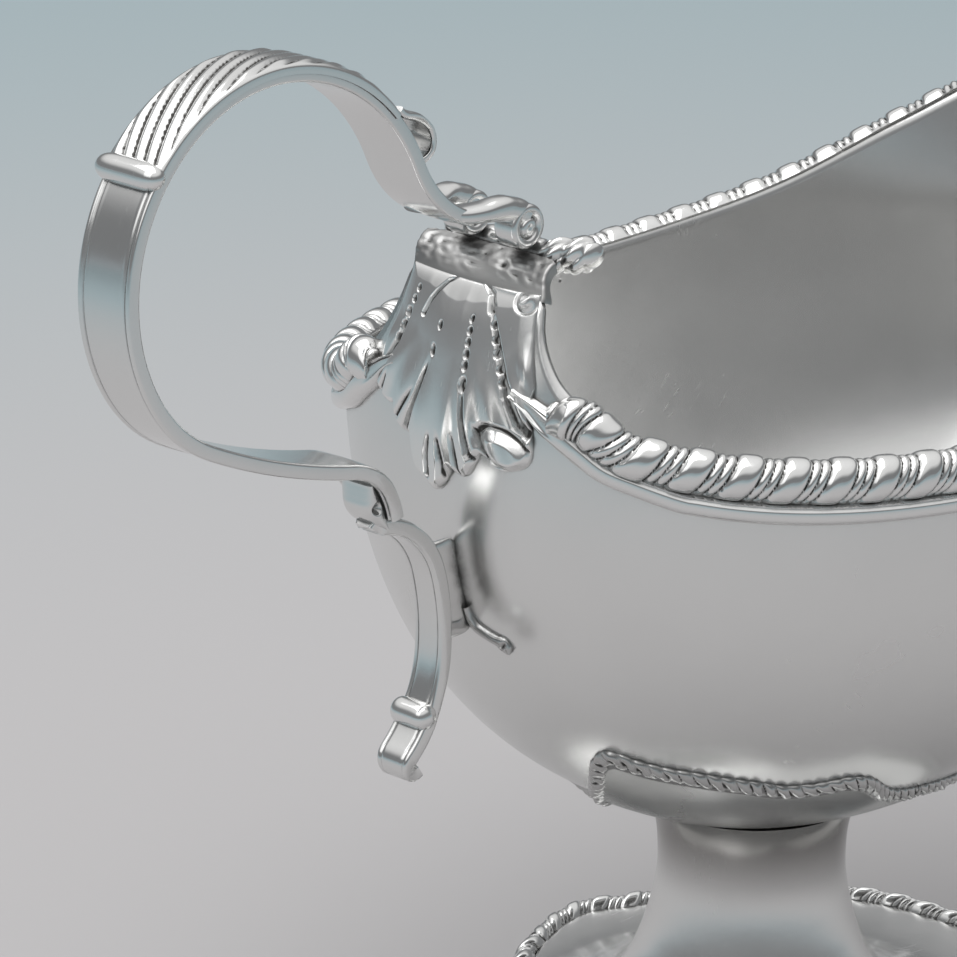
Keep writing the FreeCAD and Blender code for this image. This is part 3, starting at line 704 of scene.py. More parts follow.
def rim_wire(name, side, finish, node):
    """The moulded band under the gadroon, which climbs beside the shell at its end."""
    drop = GADROON_DROP + WIRE_DROP / 2
    angles, _ = rim_angles(WIRE_FRONT_X, WIRE_BACK_X, drop, 90)
    line = [bowl(angle, rim_stop(angle, drop)) for angle in angles]
    line = smooth_run(line + [bowl_rear(y, level) for y, level in WIRE_CLIMB], 420)
    frames = []
    for point, along in zip(line, ways(line)):
        if point.x < BELLY_OFFSET:
            out = rear_normal(point.y, point.z)
            point = bowl_rear(point.y, point.z)
        else:
            nearest = min(angles, key=lambda angle: (bowl(angle, rim_stop(angle, drop)) - point).length)
            out = bowl_normal(nearest, point.z)
        frames.append(on_side(side, point, out, downwards(along, out)))

    def section(t, s):
        tip = ease(s, 0.965, 1.0)
        width = WIRE_DROP / 2 * (1 + 0.12 * hump(s, 0.96, 0.04)) * (1 - 0.5 * tip)
        if t > 0.72:
            return -0.45, width * (1 - 2 * (t - 0.72) / 0.28)
        w = -math.cos(math.pi * t / 0.72)
        body = (1 - abs(w * 0.98) ** 2.4) ** 0.5
        groove = 0.28 * hump(w, -0.5, 0.16)
        trough = 0.7 * ease(s, 0.945, 0.985) * max(0.0, 1 - (w / 0.6) ** 4)
        return WIRE_DEPTH * body - groove - trough - 0.1, width * w

    piece(name, swept(frames, 40, section), finish, node, crisp=70, passes=5, depth=0.2)


# ---- crest

def crest_plate(finish):
    """The neck's rolled top: flush with the neck below, rough with solder under the bar."""
    run = arc_run(CREST_START, CREST_HEADING, CREST_ROLL, 0.25)
    worn_to_left = Vector((0, 0.8, 0))
    frames = [(point + worn_to_left * ease(i, 0, 0.6 * len(run)), across, out)
              for i, (point, across, out) in enumerate(run)]
    neck = bowl_rear(0, NECK_TOP_LEVEL)

    def half(s):
        return NECK_HALF - 0.2 * ease(s, 0.0, 0.7) - 0.9 * ease(s, 0.9, 1.0)

    def set_back(w, s):
        return (bowl_rear(w, NECK_TOP_LEVEL).x - neck.x) * (1 - ease(s, 0.1, 0.9))

    def top(w, s):
        solder = 0.3 * ease(s, 0.1, 0.5) * noise.noise(Vector((w * 0.8, s * 9, 3)))
        return CREST_WALL / 2 - set_back(w, s) - edge_drop(w, half(s), 0.4) + min(0.05, solder)

    def bottom(w, s):
        return -CREST_WALL / 2 - set_back(w, s) + edge_drop(w, half(s), 0.4)

    piece("crest_plate_rolled", strap(frames, 160, half, top, bottom), finish, "crest_plate")


def along_bar(radius_at, start, end, steps, around, side=1, twist=None, sweep=0.0):
    """A turned bar across the boat on the crest bar's axis, which may sweep towards the bowl."""

    def place(u, v):
        y = start + (end - start) * v
        turn = math.tau * u
        radius = radius_at(y)
        if twist:
            radius *= twist(turn, y)
        ahead = sweep * (y - start) ** 1.4
        x = BAR_CENTRE[0] + ahead + radius * math.cos(turn)
        return x, y * side, BAR_CENTRE[1] + 0.25 * ahead + radius * math.sin(turn)

    return closed(grid(around, steps, place))


BAR_HALF, KNOP_END = 6.6, 12.8


def crest_bar(finish):
    """The bar across the neck's top, slightly uneven and waisted near its ends."""

    def radius_at(y):
        lump = 0.22 * noise.noise(Vector((y * 0.5, 4.0, 1.0)))
        return BAR_RADIUS - 0.1 + lump - 0.12 * hump(abs(y), BAR_HALF - 0.6, 0.7)

    piece("crest_bar_moulded", along_bar(radius_at, -BAR_HALF, BAR_HALF, 90, 40), finish, "crest_bar")


def crest_knop(name, side, finish, node):
    """Two twisted beads and a round end, in one piece, at the bar's end."""
    outline = through([
        (0.0, 1.85), (0.5, 1.95), (1.5, 2.3), (2.4, 2.05), (2.8, 1.7), (3.2, 1.85), (4.1, 2.25),
        (4.8, 2.0), (5.1, 1.7), (5.5, 1.6), (5.9, 1.1), (6.2, 0.0),
    ])

    def twist(turn, y):
        run = y - BAR_HALF
        bead = 0.13 * (1 - ease(run, 4.7, 5.3))
        return 1 + bead * (abs(math.cos(2.5 * turn + 1.35 * run)) * 2 - 1.2)

    bm = along_bar(lambda y: outline(y - BAR_HALF), BAR_HALF, KNOP_END, 64, 90, side, twist, 0.22)
    piece(name, bm, finish, node, crisp=70, passes=8, depth=0.16)


# ---- the shell mount

FAN_TOP, FAN_TURN, SHELL_TOP = 129.0, 40.0, 124.7
fan_edge = through([
    (-40, 19.6), (-37, 20.8), (-33, 23.4), (-30, 26.0), (-27, 27.8), (-22.5, 28.2), (-17, 27.4),
    (-13.5, 25.4), (-10.5, 26.6), (-7.5, 28.2), (-5, 28.4), (-2.5, 27.6), (-1, 28.8), (2.5, 31.0),
    (5.5, 30.6), (9, 29.4), (11.5, 27.0), (13, 25.6), (15.5, 26.0), (20, 25.4), (23, 23.8),
    (27, 24.6), (31, 24.2), (34, 23.6), (38, 21.6), (40, 20.4),
])
SHELL_GROOVES = [
    # line of (y, level) points, depth, half width
    ([(8.4, 120.0), (9.8, 115.5), (12.2, 111.0), (14.2, 108.6)], 0.55, 0.55),
    ([(3.3, 114.6), (4.8, 109.8), (6.8, 105.0), (7.6, 103.0)], 0.8, 0.6),
    ([(5.6, 110.5), (8.2, 106.4), (9.6, 104.6)], 0.5, 0.4),
    ([(10.6, 111.4), (12.0, 108.2), (12.6, 106.8)], 0.5, 0.4),
    ([(2.2, 105.6), (2.6, 102.6), (2.5, 100.2)], 0.7, 0.45),
    ([(0.6, 105.8), (-0.1, 102.4), (-0.2, 98.6)], 1.0, 0.75),
    ([(-1.6, 106.4), (-2.2, 103.4), (-2.6, 101.2)], 0.7, 0.45),
    ([(-2.6, 112.4), (-3.2, 108.4), (-4.3, 104.4), (-5.6, 102.6)], 0.95, 0.6),
    ([(-4.8, 108.2), (-6.0, 106.2), (-6.8, 104.0)], 0.5, 0.4),
    ([(-5.2, 121.6), (-6.8, 118.2), (-8.2, 115.0), (-9.2, 112.4)], 0.75, 0.55),
    ([(-8.8, 113.9), (-9.8, 111.6), (-11.2, 109.2), (-12.2, 108.2)], 1.7, 1.0),
    ([(1.3, 125.2), (3.4, 123.8), (5.2, 121.3), (6.0, 119.4)], 0.55, 0.4),
    ([(1.3, 125.2), (-2.2, 125.1), (-4.2, 123.7), (-4.9, 121.8)], 0.65, 0.45),
]
BOSS, BOSS_RADIUS = (-9.3, 123.8), 1.1
OVAL, OVAL_WAY, OVAL_HALVES = (-9.5, 105.6), (-0.908, -0.419), (3.7, 2.0)
SHELL_DOTS = [
    # y, level, half width, half height
    (7.9, 122.0, 0.35, 0.5), (8.3, 120.6, 0.4, 0.5), (8.9, 118.9, 0.5, 0.7), (9.4, 117.2, 0.45, 0.6),
    (9.9, 115.4, 0.45, 0.7), (2.4, 118.7, 0.35, 0.6), (2.9, 115.6, 0.4, 0.8),
    (-2.45, 120.4, 0.3, 0.5), (-2.5, 119.0, 0.35, 0.55), (-2.55, 117.6, 0.38, 0.6),
    (-2.6, 116.2, 0.42, 0.65), (-2.65, 114.8, 0.42, 0.7), (-2.75, 112.5, 0.6, 1.05),
    (-5.0, 122.2, 0.4, 0.6), (-5.7, 120.3, 0.35, 0.5), (-6.3, 118.6, 0.35, 0.5), (-6.9, 117.0, 0.4, 0.6),
    (-7.7, 115.3, 0.4, 0.6), (-8.4, 113.8, 0.45, 0.6),
]


def off_line(line, y, level):
    """Distance to a drawn line, and the share of its length at the nearest place."""
    best, where = 1e9, 0.0
    for i, ((ya, za), (yb, zb)) in enumerate(zip(line, line[1:])):
        run_y, run_z = yb - ya, zb - za
        t = clamp(((y - ya) * run_y + (level - za) * run_z) / (run_y**2 + run_z**2))
        gap = math.hypot(y - ya - t * run_y, level - za - t * run_z)
        if gap < best:
            best, where = gap, (i + t) / (len(line) - 1)
    return best, where


def shell_height(y, level, u, v):
    """Relief of the shell over the neck: a domed fan with chased rows, flutes, a boss and a full lobe."""
    dome = 0.4 * hump(y, 0.5, 8.0) * ease(v, 0.02, 0.25)
    height = 0.75 + dome + 0.65 * ease(v, 0.4, 0.85)
    turn = math.degrees(math.atan2(y, FAN_TOP - level))
    height += 0.2 * math.cos(math.radians(turn * 360 / 10.4)) * ease(v, 0.45, 0.8)
    for line, depth, half in SHELL_GROOVES:
        gap, where = off_line(line, y, level)
        if gap < half * 2:
            depth *= ease(where, -0.05, 0.3)
            height -= depth * (1 - ease(gap, 0.0, half * (0.8 + 0.6 * where)))
    for dot_y, dot_level, half_y, half_z in SHELL_DOTS:
        gap = math.hypot((y - dot_y) / half_y, (level - dot_level) / half_z)
        if gap < 1.4:
            height -= 0.6 * (1 - ease(gap, 0.45, 1.15))
    from_boss = math.hypot(y - BOSS[0], level - BOSS[1]) / BOSS_RADIUS
    height += 0.95 * (1 - ease(from_boss, 0.5, 1.0)) - 0.3 * hump(from_boss, 1.3, 0.4)
    off_y, off_level = y - OVAL[0], level - OVAL[1]
    along = (off_y * OVAL_WAY[0] + off_level * OVAL_WAY[1]) / OVAL_HALVES[0]
    across = (off_level * OVAL_WAY[0] - off_y * OVAL_WAY[1]) / OVAL_HALVES[1]
    from_oval = math.hypot(along, across)
    height += 0.8 * (1 - ease(from_oval, 0.5, 1.0)) - 0.55 * hump(from_oval, 1.15, 0.25)
    edge = min(v * 9, (1 - v) * 22, u * 11, (1 - u) * 11)
    return max(0.15, height) * math.sqrt(clamp(edge)) ** 0.8


def shell_place(u, v):
    """A place on the fan: its ribs leave the neck's top side by side and spread below."""
    turn = math.radians(FAN_TURN * (2 * u - 1))
    foot_y = fan_edge(math.degrees(turn)) * math.sin(turn)
    foot_level = FAN_TOP - fan_edge(math.degrees(turn)) * math.cos(turn)
    top_y = (NECK_HALF - 0.5) * (2 * u - 1)
    middle_y, middle_level = top_y * 1.02, (SHELL_TOP + foot_level) / 2 + 1.0
    a, b, c = (1 - v) ** 2, 2 * v * (1 - v), v * v
    return a * top_y + b * middle_y + c * foot_y, a * SHELL_TOP + b * middle_level + c * foot_level


def shell_mount(finish):
    """The chased fan on the back of the neck."""

    def top(u, v):
        y, level = shell_place(u, v)
        return bowl_rear(y, level) + rear_normal(y, level) * (shell_height(y, level, u, v) - 0.1)

    def bottom(u, v):
        y, level = shell_place(u, v)
        return bowl_rear(y, level) - rear_normal(y, level) * 0.4

    bm = lens(210, 190, top, bottom)
    piece("shell_mount_chased", bm, finish, "shell_mount", crisp=80, passes=9, depth=0.15)


# ---- the handle

heel_frames = arc_run(HANDLE_FOOT, FOOT_HEADING, HEEL_ARCS)
crown_begin = heel_frames[-1]
crown_frames = run_on(crown_begin[0], crown_begin, CROWN_ARCS, 0.4)
crown_end = crown_frames[-1]
fall_frames = run_on(crown_end[0], crown_end, FALL_ARCS)


def strap_top(w, half):
    """The strap's outer face: flat, with a raised line and a groove along each edge."""
    from_edge = half - abs(w)
    groove = 0.3 * hump(from_edge, 0.85, 0.38)
    flat = 0.16 * ease(from_edge, 0.9, 1.5)
    return STRAP_WALL / 2 - groove - flat - edge_drop(w, half, 0.28)


HEEL_RADIUS = HEEL_ARCS[0][0]
heel_leaf_inner = through([
    (2, 8.9), (8, 7.8), (15, 7.1), (23, 6.8), (31, 7.0), (37, 7.6), (42, 8.3), (46, 9.0),
])


def heel_leaf():
    """The small rolled leaf in the heel's bend, with an eye."""
    start = heel_frames[0]
    centre = start[0] + start[2] * HEEL_RADIUS
    begin, sweep, count = 2.0, 44.0, 70
    frames = []
    for i in range(count + 1):
        turn = math.radians(begin + sweep * i / count)
        frames.append((centre, Vector((0, 1, 0)), Vector((math.cos(turn), 0, math.sin(turn)))))

    def section(t, s):
        degrees = begin + sweep * s
        inner, outer = heel_leaf_inner(degrees), HEEL_RADIUS - STRAP_WALL / 2 + 0.4
        turn = math.tau * t
        across = 2.7 * flattened(math.cos(turn), 0.5)
        radius = (inner + outer) / 2 + (outer - inner) / 2 * flattened(math.sin(turn), 0.8)
        eye = hump(math.hypot((degrees - 25) * 0.13, radius - 8.1), 0.0, 0.95)
        return across - math.copysign(eye, across), radius

    return swept(frames, 90, section)


def upper_scroll(finish):
    """The strap from its heel over the crown to the fork at the crest."""
    frames = heel_frames + crown_frames[1:] + fall_frames[1:]

    def half(s):
        return STRAP_WIDTH / 2 * (1 - 0.12 * (1 - ease(s, 0.0, 0.05)))

    def top(w, s):
        return strap_top(w, half(s))

    def bottom(w, s):
        crown = 0.12 * (1 - (w / half(s)) ** 2)
        return -STRAP_WALL / 2 - crown + 0.12 + edge_drop(w, half(s), 0.35)

    bm = merged(strap(frames, 100, half, top, bottom), heel_leaf())
    piece("handle_strap", bm, finish, "handle_upper_scroll", "silver_plain", passes=4, depth=0.12)


def leaf_cap(finish):
    """The fluted leaf over the crown; its flutes drift across as they run."""
    half, pitch = CAP_WIDTH / 2, 1.85

    def flute(w, s):
        drift = 19.0 * s - 1.5 * math.sin(s * 2.2)
        phase = ((w - drift) / pitch) % 1.0
        return abs(math.sin(math.pi * phase)) ** 0.6

    def top(w, s):
        taper = 1 - 0.5 * ease(s, 0.8, 1.0)
        inside = ease(half - abs(w), 0.1, 1.3)
        rib = CAP_DEPTH * taper * (0.5 + (0.85 * flute(w, s) - 0.38) * inside)
        return STRAP_WALL / 2 + max(0.05, rib) - edge_drop(w, half, 0.5)

    def bottom(w, _):
        lap = 0.55 * ease(abs(w), STRAP_WIDTH / 2 - 0.05, STRAP_WIDTH / 2 + 0.1)
        return STRAP_WALL / 2 - 0.25 - lap

    bm = strap(crown_frames, 100, lambda s: half, top, bottom)
    piece("handle_leaf_cap_fluted", bm, finish, "handle_leaf_cap", crisp=70, passes=6, depth=0.14)


def rolled_band(name, centre, full_radius, half, finish, node):
    """A fat rolled band across a strap, rounded at its ends."""

    def place(u, v):
        w = -half * math.cos(math.pi * v)
        turn = math.tau * u
        radius = full_radius * math.sqrt(max(0.0, 1 - abs(w / half) ** 5))
        return centre.x + radius * math.cos(turn), w, centre.z + radius * math.sin(turn)

    piece(name, grid(44, 56, place), finish, node, crisp=70)


def thumb_scroll(finish):
    """The leaf's free end, which lifts off the strap and curls over."""
    half_cap = CAP_DEPTH / 2
    start = spot(crown_end, STRAP_WALL / 2 + half_cap)
    frames = run_on(start, crown_end, THUMB_ARCS, 0.25)

    def half(s):
        return 4.3 - 1.0 * ease(s, 0.1, 0.6) - 0.8 * ease(s, 0.75, 1.0)

    def top(w, s):
        flute = 0.14 * abs(math.sin(math.pi * w / 1.5)) * (1 - ease(s, 0.3, 0.6))
        return half_cap + flute - edge_drop(w, half(s), 0.35)

    def bottom(w, s):
        return -half_cap + edge_drop(w, half(s), 0.3)

    piece("handle_thumb_curl", strap(frames, 50, half, top, bottom), finish, "handle_thumb_scroll", crisp=60)


def terminal(name, side, finish, node):
    """One arm of the fork: it swells outwards and ends in a rolled curl on the crest bar."""
    line = smooth_run([
        (-62.6, 2.3, 135.2), (-60.2, 2.9, 134.7), (-57.6, 3.8, 134.6), (-55.2, 4.4, 134.7),
        (-53.0, 4.5, 134.2), (-51.2, 4.5, 133.0),
    ], 48)
    depth = through([(0.0, 0.8), (0.25, 1.1), (0.5, 1.35), (0.75, 1.7), (1.0, 1.9)])
    width = through([(0.0, 1.7), (0.3, 1.9), (0.6, 1.8), (1.0, 1.75)])
    frames = []
    for point, way in zip(line, ways(line)):
        along = way.normalized()
        across = Vector((0, 0, 1)).cross(along).normalized()
        frames.append(on_side(side, point, across, along.cross(across)))

    def section(t, s):
        turn = math.tau * t
        pinch = 0.16 * hump(s, 0.8, 0.12) if math.sin(turn) > 0.2 else 0.0
        return flattened(math.cos(turn), 0.72) * width(s), flattened(math.sin(turn), 0.72) * depth(s) - pinch

    bm = merged(swept(frames, 40, section), curl_roll(side))
    piece(name, bm, finish, node, crisp=55, passes=8, depth=0.18)


def curl_roll(side):
    """The curl itself: a short roll whose faces show its winding."""
    half = 1.75
    profile = through([
        (0.0, -half - 0.1), (0.07, -half - 0.15), (0.14, -half + 0.05), (0.17, -half + 0.42),
        (0.21, -half + 0.1), (0.33, -half - 0.02), (0.4, -half + 0.35), (0.5, 0.0), (0.6, half - 0.35),
        (0.67, half + 0.02), (0.79, half - 0.1), (0.83, half - 0.42), (0.86, half - 0.05),
        (0.93, half + 0.15), (1.0, half + 0.1),
    ])
    reach = through([
        (0.0, 0.0), (0.1, 0.9), (0.17, 1.35), (0.24, 1.9), (0.34, 2.5), (0.4, 2.84), (0.5, 2.9),
        (0.6, 2.84), (0.66, 2.5), (0.76, 1.9), (0.83, 1.35), (0.9, 0.9), (1.0, 0.0),
    ])

    def place(u, v):
        turn = math.tau * u
        winding = 0.1 * math.cos(turn + 1.2)
        radius = reach(v) * (1 + winding * hump(v, 0.17, 0.12) + winding * hump(v, 0.83, 0.12))
        y = (CURL_SPREAD + profile(v)) * side
        return CURL_CENTRE[0] + radius * math.cos(turn), y, CURL_CENTRE[1] + radius * math.sin(turn)

    return weld(grid(48, 80, place))


lower_place = spot(heel_frames[0], LOWER_WALL / 2) - Vector((0, 0, STRAP_WALL / 2))
lower_start = (lower_place.x, lower_place.z)
lower_frames = arc_run(lower_start, LOWER_HEADING, LOWER_ARCS, 0.5)
collar_stop = arc_run(lower_start, LOWER_HEADING, LOWER_ARCS[:3], 0.5)[-1]


def lower_scroll(finish):
    """The lower scroll: a slim strap down the back, with a lobed head and a hooked tail."""
    head = arc_run(lower_start, LOWER_HEADING + 180, [(1.0, 60.0)], 0.15)
    frames = [(point, across, -out) for point, across, out in reversed(head)][:-1] + lower_frames
    start = (len(head) - 1) / (len(frames) - 1)

    def half(s):
        lobe = LOWER_WIDTH / 2 * (0.6 + 0.4 * ease(s, 0, start))
        return lobe + 0.3 * ease(s, 0.7, 0.85) - 0.5 * ease(s, 0.9, 1.0)

    def top(w, s):
        return LOWER_WALL / 2 * (0.75 + 0.25 * ease(s, 0, start)) - edge_drop(w, half(s), 0.5)

    def bottom(w, s):
        groove = 0.16 * hump(half(s) - abs(w), 0.75, 0.3)
        return -LOWER_WALL / 2 * (0.75 + 0.25 * ease(s, 0, start)) + edge_drop(w, half(s), 0.4) + groove

    bm = strap(frames, 50, half, top, bottom)
    piece("handle_lower_strap", bm, finish, "handle_lower_scroll", "silver_plain", passes=4, depth=0.14)


# ---- the seat of the lower scroll

def lower_seat(finish):
    """The rough seam of solder and strap that holds the lower scroll to the body."""
    foot_level, height = 78.5, 13.5

    def place(u, v):
        level = foot_level + height * v
        face = bowl_rear(0, level)
        turn = math.tau * u
        inner = face.x + 0.2
        outer = min(lower_back(level), face.x - 0.8)
        middle, half_x = (inner + outer) / 2, (inner - outer) / 2
        rough = 1 + 0.2 * noise.noise(Vector((turn, level * 0.9, 1.7)))
        ends = math.sqrt(clamp(min(v, 1 - v) * 14))
        y = 0.5 * math.sin(turn) * rough * (0.35 + 0.65 * ends)
        return middle + half_x * math.cos(turn) * (0.6 + 0.4 * ends), y, level

    bm = closed(grid(26, 50, place))
    piece("lower_seat_seam", bm, finish, "lower_seat", "silver_plain", crisp=80, passes=5, depth=0.12)


def lower_back(level):
    """Distance of the lower scroll's middle line from the stem axis at a level."""
    stops = [stop[0] for stop in lower_frames if stop[0].z > 60 and stop[0].x < -60.0]
    return min(stops, key=lambda p: abs(p.z - level)).x


def seat_leaf(name, side, finish, node):
    """A slim leaf on the body that runs down beside the seat and turns away to a split end."""
    line = [(0.45, 82.2), (0.6, 80.6), (1.3, 79.4), (3.0, 78.6), (4.8, 78.0), (6.2, 76.9)]
    line = smooth_run([(0, y, level) for y, level in line], 60)
    frames = []
    for point, way in zip(line, ways(line)):
        out = rear_normal(point.y, point.z)
        across = way.normalized().cross(out).normalized()
        frames.append(on_side(side, bowl_rear(point.y, point.z), out, across))

    def section(t, s):
        turn = math.tau * t
        width = 0.8 * (0.5 + 0.5 * ease(s, 0, 0.3)) + 0.35 * hump(s, 0.85, 0.14) - 0.5 * ease(s, 0.95, 1.0)
        lift = 0.8 * math.sin(turn) if math.sin(turn) > 0 else 0.3 * math.sin(turn)
        eye = 0.5 * hump(s, 0.86, 0.05) * clamp(math.sin(turn) * 2 - 1)
        return lift - eye, width * math.cos(turn)

    piece(name, swept(frames, 24, section), finish, node, crisp=70)


# ---- calyx plate and its roped border

CALYX_HOLE, CALYX_LIFT, CALYX_WALL = 12.0, 0.7, 0.6
CALYX_BORDER, CALYX_BORDER_DEPTH, ROPE_PITCH = 2.8, 1.2, 1.85
CALYX_BACK = [
    (32.8, 0), (36.5, 3.0), (40.6, 6.8), (43.4, 9.8), (44.4, 13.4), (40.8, 17.8), (36.3, 22.2), (30.7, 25.8),
    (25.5, 27.9), (21.9, 29.9), (18.4, 31.9), (15.5, 32.5), (12.6, 32.2), (6.5, 30.0), (0, 28.9),
]
CALYX_FRONT = [
    (36.0, 0), (37.6, 5.0), (36.6, 11.0), (32.0, 17.6), (25.0, 22.4), (17.0, 24.9), (9.3, 26.9), (4.0, 28.4),
    (0, 28.9),
]
CALYX_DRAWN_IN = [
    (31.2, 0), (28.6, 3.6), (26.2, 8.0), (24.2, 13.0), (22.6, 18.0), (21.4, 23.0), (19.8, 27.6),
    (16.8, 31.2), (12.6, 32.2), (6.5, 30.0), (0, 28.9),
]
CALYX = [(CALYX_FRONT, 1, 1), (CALYX_FRONT, 1, -1), (CALYX_DRAWN_IN, -1, 1), (CALYX_BACK, -1, -1)]
CORNERS = ["front_left", "front_right", "back_left", "back_right"]


def quarter_line(points, sx, sy, inset, count):
    """A quarter of an outline, drawn in by an inset, run on to both axes, mirrored and spaced evenly."""
    fine = smooth_run([(x, y, 0) for x, y in points], 200)
    moved = [p + Vector((-along.y, along.x, 0)).normalized() * inset for p, along in zip(fine, ways(fine))]
    first, second = moved[0], moved[3]
    if first.y > 0.01:
        moved.insert(0, first + (first - second) * (first.y / max(0.05, second.y - first.y)))
    last, before = moved[-1], moved[-4]
    if last.x > 0.01:
        moved.append(last + (last - before) * (last.x / max(0.05, before.x - last.x)))
    return evenly([Vector((max(0.0, p.x) * sx, max(0.0, p.y) * sy, 0)) for p in moved], count)


def outline_reach(corners, inset):
    """Distance of an outline from the stem axis as a function of the direction."""
    quarters = [quarter_line(points, sx, sy, inset, 120) for points, sx, sy in corners]
    places = [p for quarter in quarters for p in quarter]
    turns, reaches = zip(*sorted((math.atan2(p.y, p.x) % math.tau, p.length) for p in places))
    return lambda turn: float(np.interp(turn % math.tau, turns, reaches, period=math.tau))


def flange(hole, reach, point_at, cells):
    """A sheet round the stem, from a round hole to an outline; point_at(x, y, radius) lifts it."""

    def place(u, v):
        turn = math.tau * u
        radius = hole + (reach(turn) - hole) * v
        return point_at(radius * math.cos(turn), radius * math.sin(turn), radius)

    return weld(grid(*cells, place))


def calyx_plate(finish):
    """The plate under the bowl, which follows its underside."""

    def point_at(x, y, _):
        return bowl_under(x, y) + under_normal(x, y) * CALYX_LIFT

    bm = flange(CALYX_HOLE, outline_reach(CALYX, CALYX_BORDER * 0.7), point_at, (300, 40))
    outward = -sum(face.normal.z for face in bm.faces)
    sheet("calyx_plate_sheet", bm, outward, CALYX_WALL, finish, "calyx_plate", passes=3, depth=2.0)


def calyx_border(name, points, sx, sy, finish, node):
    """A quarter of the roped border that follows the plate's edge on the bowl."""
    line = quarter_line(points, sx, sy, CALYX_BORDER / 2, 300)
    length = lengths_along(line)[-1]
    frames = []
    for point, along in zip(line, ways(line)):
        out = under_normal(point.x, point.y)
        frames.append((bowl_under(point.x, point.y), out, out.cross(along).normalized()))

    def section(t, s):
        turn = math.tau * t
        phase = (s * length + 0.9 * math.cos(turn)) / ROPE_PITCH
        bead = abs(math.sin(math.pi * phase)) ** 0.7
        worn = 0.34 * noise.noise(Vector((s * length * 0.9, turn, sx + 2 * sy)))
        lift = CALYX_BORDER_DEPTH * (0.5 + 0.5 * bead + worn) if math.sin(turn) > 0 else 0.4
        width = CALYX_BORDER / 2 * (0.84 + 0.18 * bead)
        return lift * math.sin(turn), width * math.cos(turn)

    piece(name, swept(frames, 20, section), finish, node, "silver_tarnished", crisp=80, passes=5, depth=0.14)


# ---- stem and foot

def stem(finish):
    """The hollow stem, whose top edge runs a little way into the bowl's wall."""
    wall, seated = 1.2, 0.6
    levels = smooth_run([(radius, 0, level) for radius, level in STEM_PROFILE], 56)
    outer = [(p.x, p.z) for p in levels]
    inner = [(p.x - wall, p.z) for p in reversed(levels)]
    bm = turned(outer + inner + outer[:1], 128)
    for vert in bm.verts:
        top = bowl_under(vert.co.x / MM, vert.co.y / MM).z + seated
        vert.co.z = min(vert.co.z, top * MM)
    piece("stem_turned", bm, finish, "stem", "silver_sheet", passes=3, depth=1.5)


FOOT_HOLE, FOOT_WALL, FOOT_WIRE, FOOT_WIRE_WIDTH = 22.5, 1.1, 1.4, 3.2
FOOT_BORDER, FOOT_BORDER_TOP, FOOT_PITCH = 4.4, 6.4, 5.0
FOOT_FRONT = [
    (49.9, 0), (49.6, 5.5), (48.6, 12.5), (45.4, 20.5), (39.0, 28.5), (31.0, 35.6), (24.5, 40.0),
    (20.2, 42.0), (17.4, 43.6), (14.6, 45.2), (10.8, 45.7), (5.5, 44.9), (0, 42.9),
]
FOOT_BACK = [
    (45.8, 0), (47.6, 4.5), (49.4, 9.5), (47.8, 17.5), (43.6, 26.0), (36.5, 33.2), (28.5, 36.8),
    (21.0, 37.2), (15.5, 36.0), (12.0, 36.2), (8.6, 38.2), (4.6, 40.8), (0, 42.9),
]
FOOT = [(FOOT_FRONT, 1, 1), (FOOT_FRONT, 1, -1), (FOOT_BACK, -1, 1), (FOOT_BACK, -1, -1)]


def foot_plate(finish):
    """The foot's plate: a dome that falls from the stem to a flat flange."""
    fall = through([
        (22.0, 9.4), (24.0, 9.1), (27.0, 8.0), (30.0, 6.7), (33.5, 5.6), (38.0, 5.15), (46.0, 4.95),
    ])
    reach = outline_reach(FOOT, FOOT_BORDER - 0.6)
    bm = flange(FOOT_HOLE, reach, lambda x, y, radius: (x, y, fall(radius)), (240, 36))
    outward = sum(face.normal.z for face in bm.faces)
    sheet("foot_plate_sheet", bm, outward, FOOT_WALL, finish, "foot_plate", passes=3, depth=2.0)


def foot_border(name, points, sx, sy, finish, node):
    """A quarter of the foot's gadroon: slanted lobes that fall outwards to the wire."""
    line = quarter_line(points, sx, sy, FOOT_BORDER / 2, 420)
    length = lengths_along(line)[-1]
    frames = []
    for point, along in zip(line, ways(line)):
        out = Vector((along.y, -along.x, 0)).normalized()
        if out.dot(point) < 0:
            out = -out
        frames.append((point, out, Vector((0, 0, 1))))
    half, rise = FOOT_BORDER / 2, FOOT_BORDER_TOP - FOOT_WIRE
    lobed_share = 0.7

    def section(t, s):
        if t > lobed_share:
            return half * (2 * (t - lobed_share) / (1 - lobed_share) - 1), FOOT_WIRE
        turn = math.pi * t / lobed_share
        lobe = gadroon_lobe((s * length + 1.5 * math.cos(turn)) / FOOT_PITCH)
        cut = 0.85 * (1 - lobe) * ease(t, 0.02, 0.12) * (1 - ease(t, 0.6, 0.68))
        return (half - cut * 0.8) * math.cos(turn), FOOT_WIRE + (rise - cut) * math.sin(turn) ** 0.8

    piece(name, swept(frames, 30, section), finish, node, crisp=70, passes=5, depth=0.18)


def foot_wire(finish):
    """The plain wire that the boat stands on."""
    line = []
    for points, sx, sy in (FOOT[0], FOOT[2], FOOT[3], FOOT[1]):
        quarter = quarter_line(points, sx, sy, FOOT_WIRE_WIDTH / 2, 90)
        line += (quarter if sx * sy > 0 else quarter[::-1])[:-1]
    frames = []
    count = len(line)
    for i in range(count + 1):
        along = line[(i + 1) % count] - line[(i - 1) % count]
        frames.append((line[i % count], Vector((along.y, -along.x, 0)).normalized(), Vector((0, 0, 1))))

    def section(t, _):
        turn = math.tau * t
        across = flattened(math.cos(turn), 0.55) * FOOT_WIRE_WIDTH / 2
        return across, flattened(math.sin(turn), 0.55) * FOOT_WIRE / 2 + FOOT_WIRE / 2

    piece("foot_wire_plain", swept(frames, 20, section), finish, "foot_base_wire", "silver_plain")


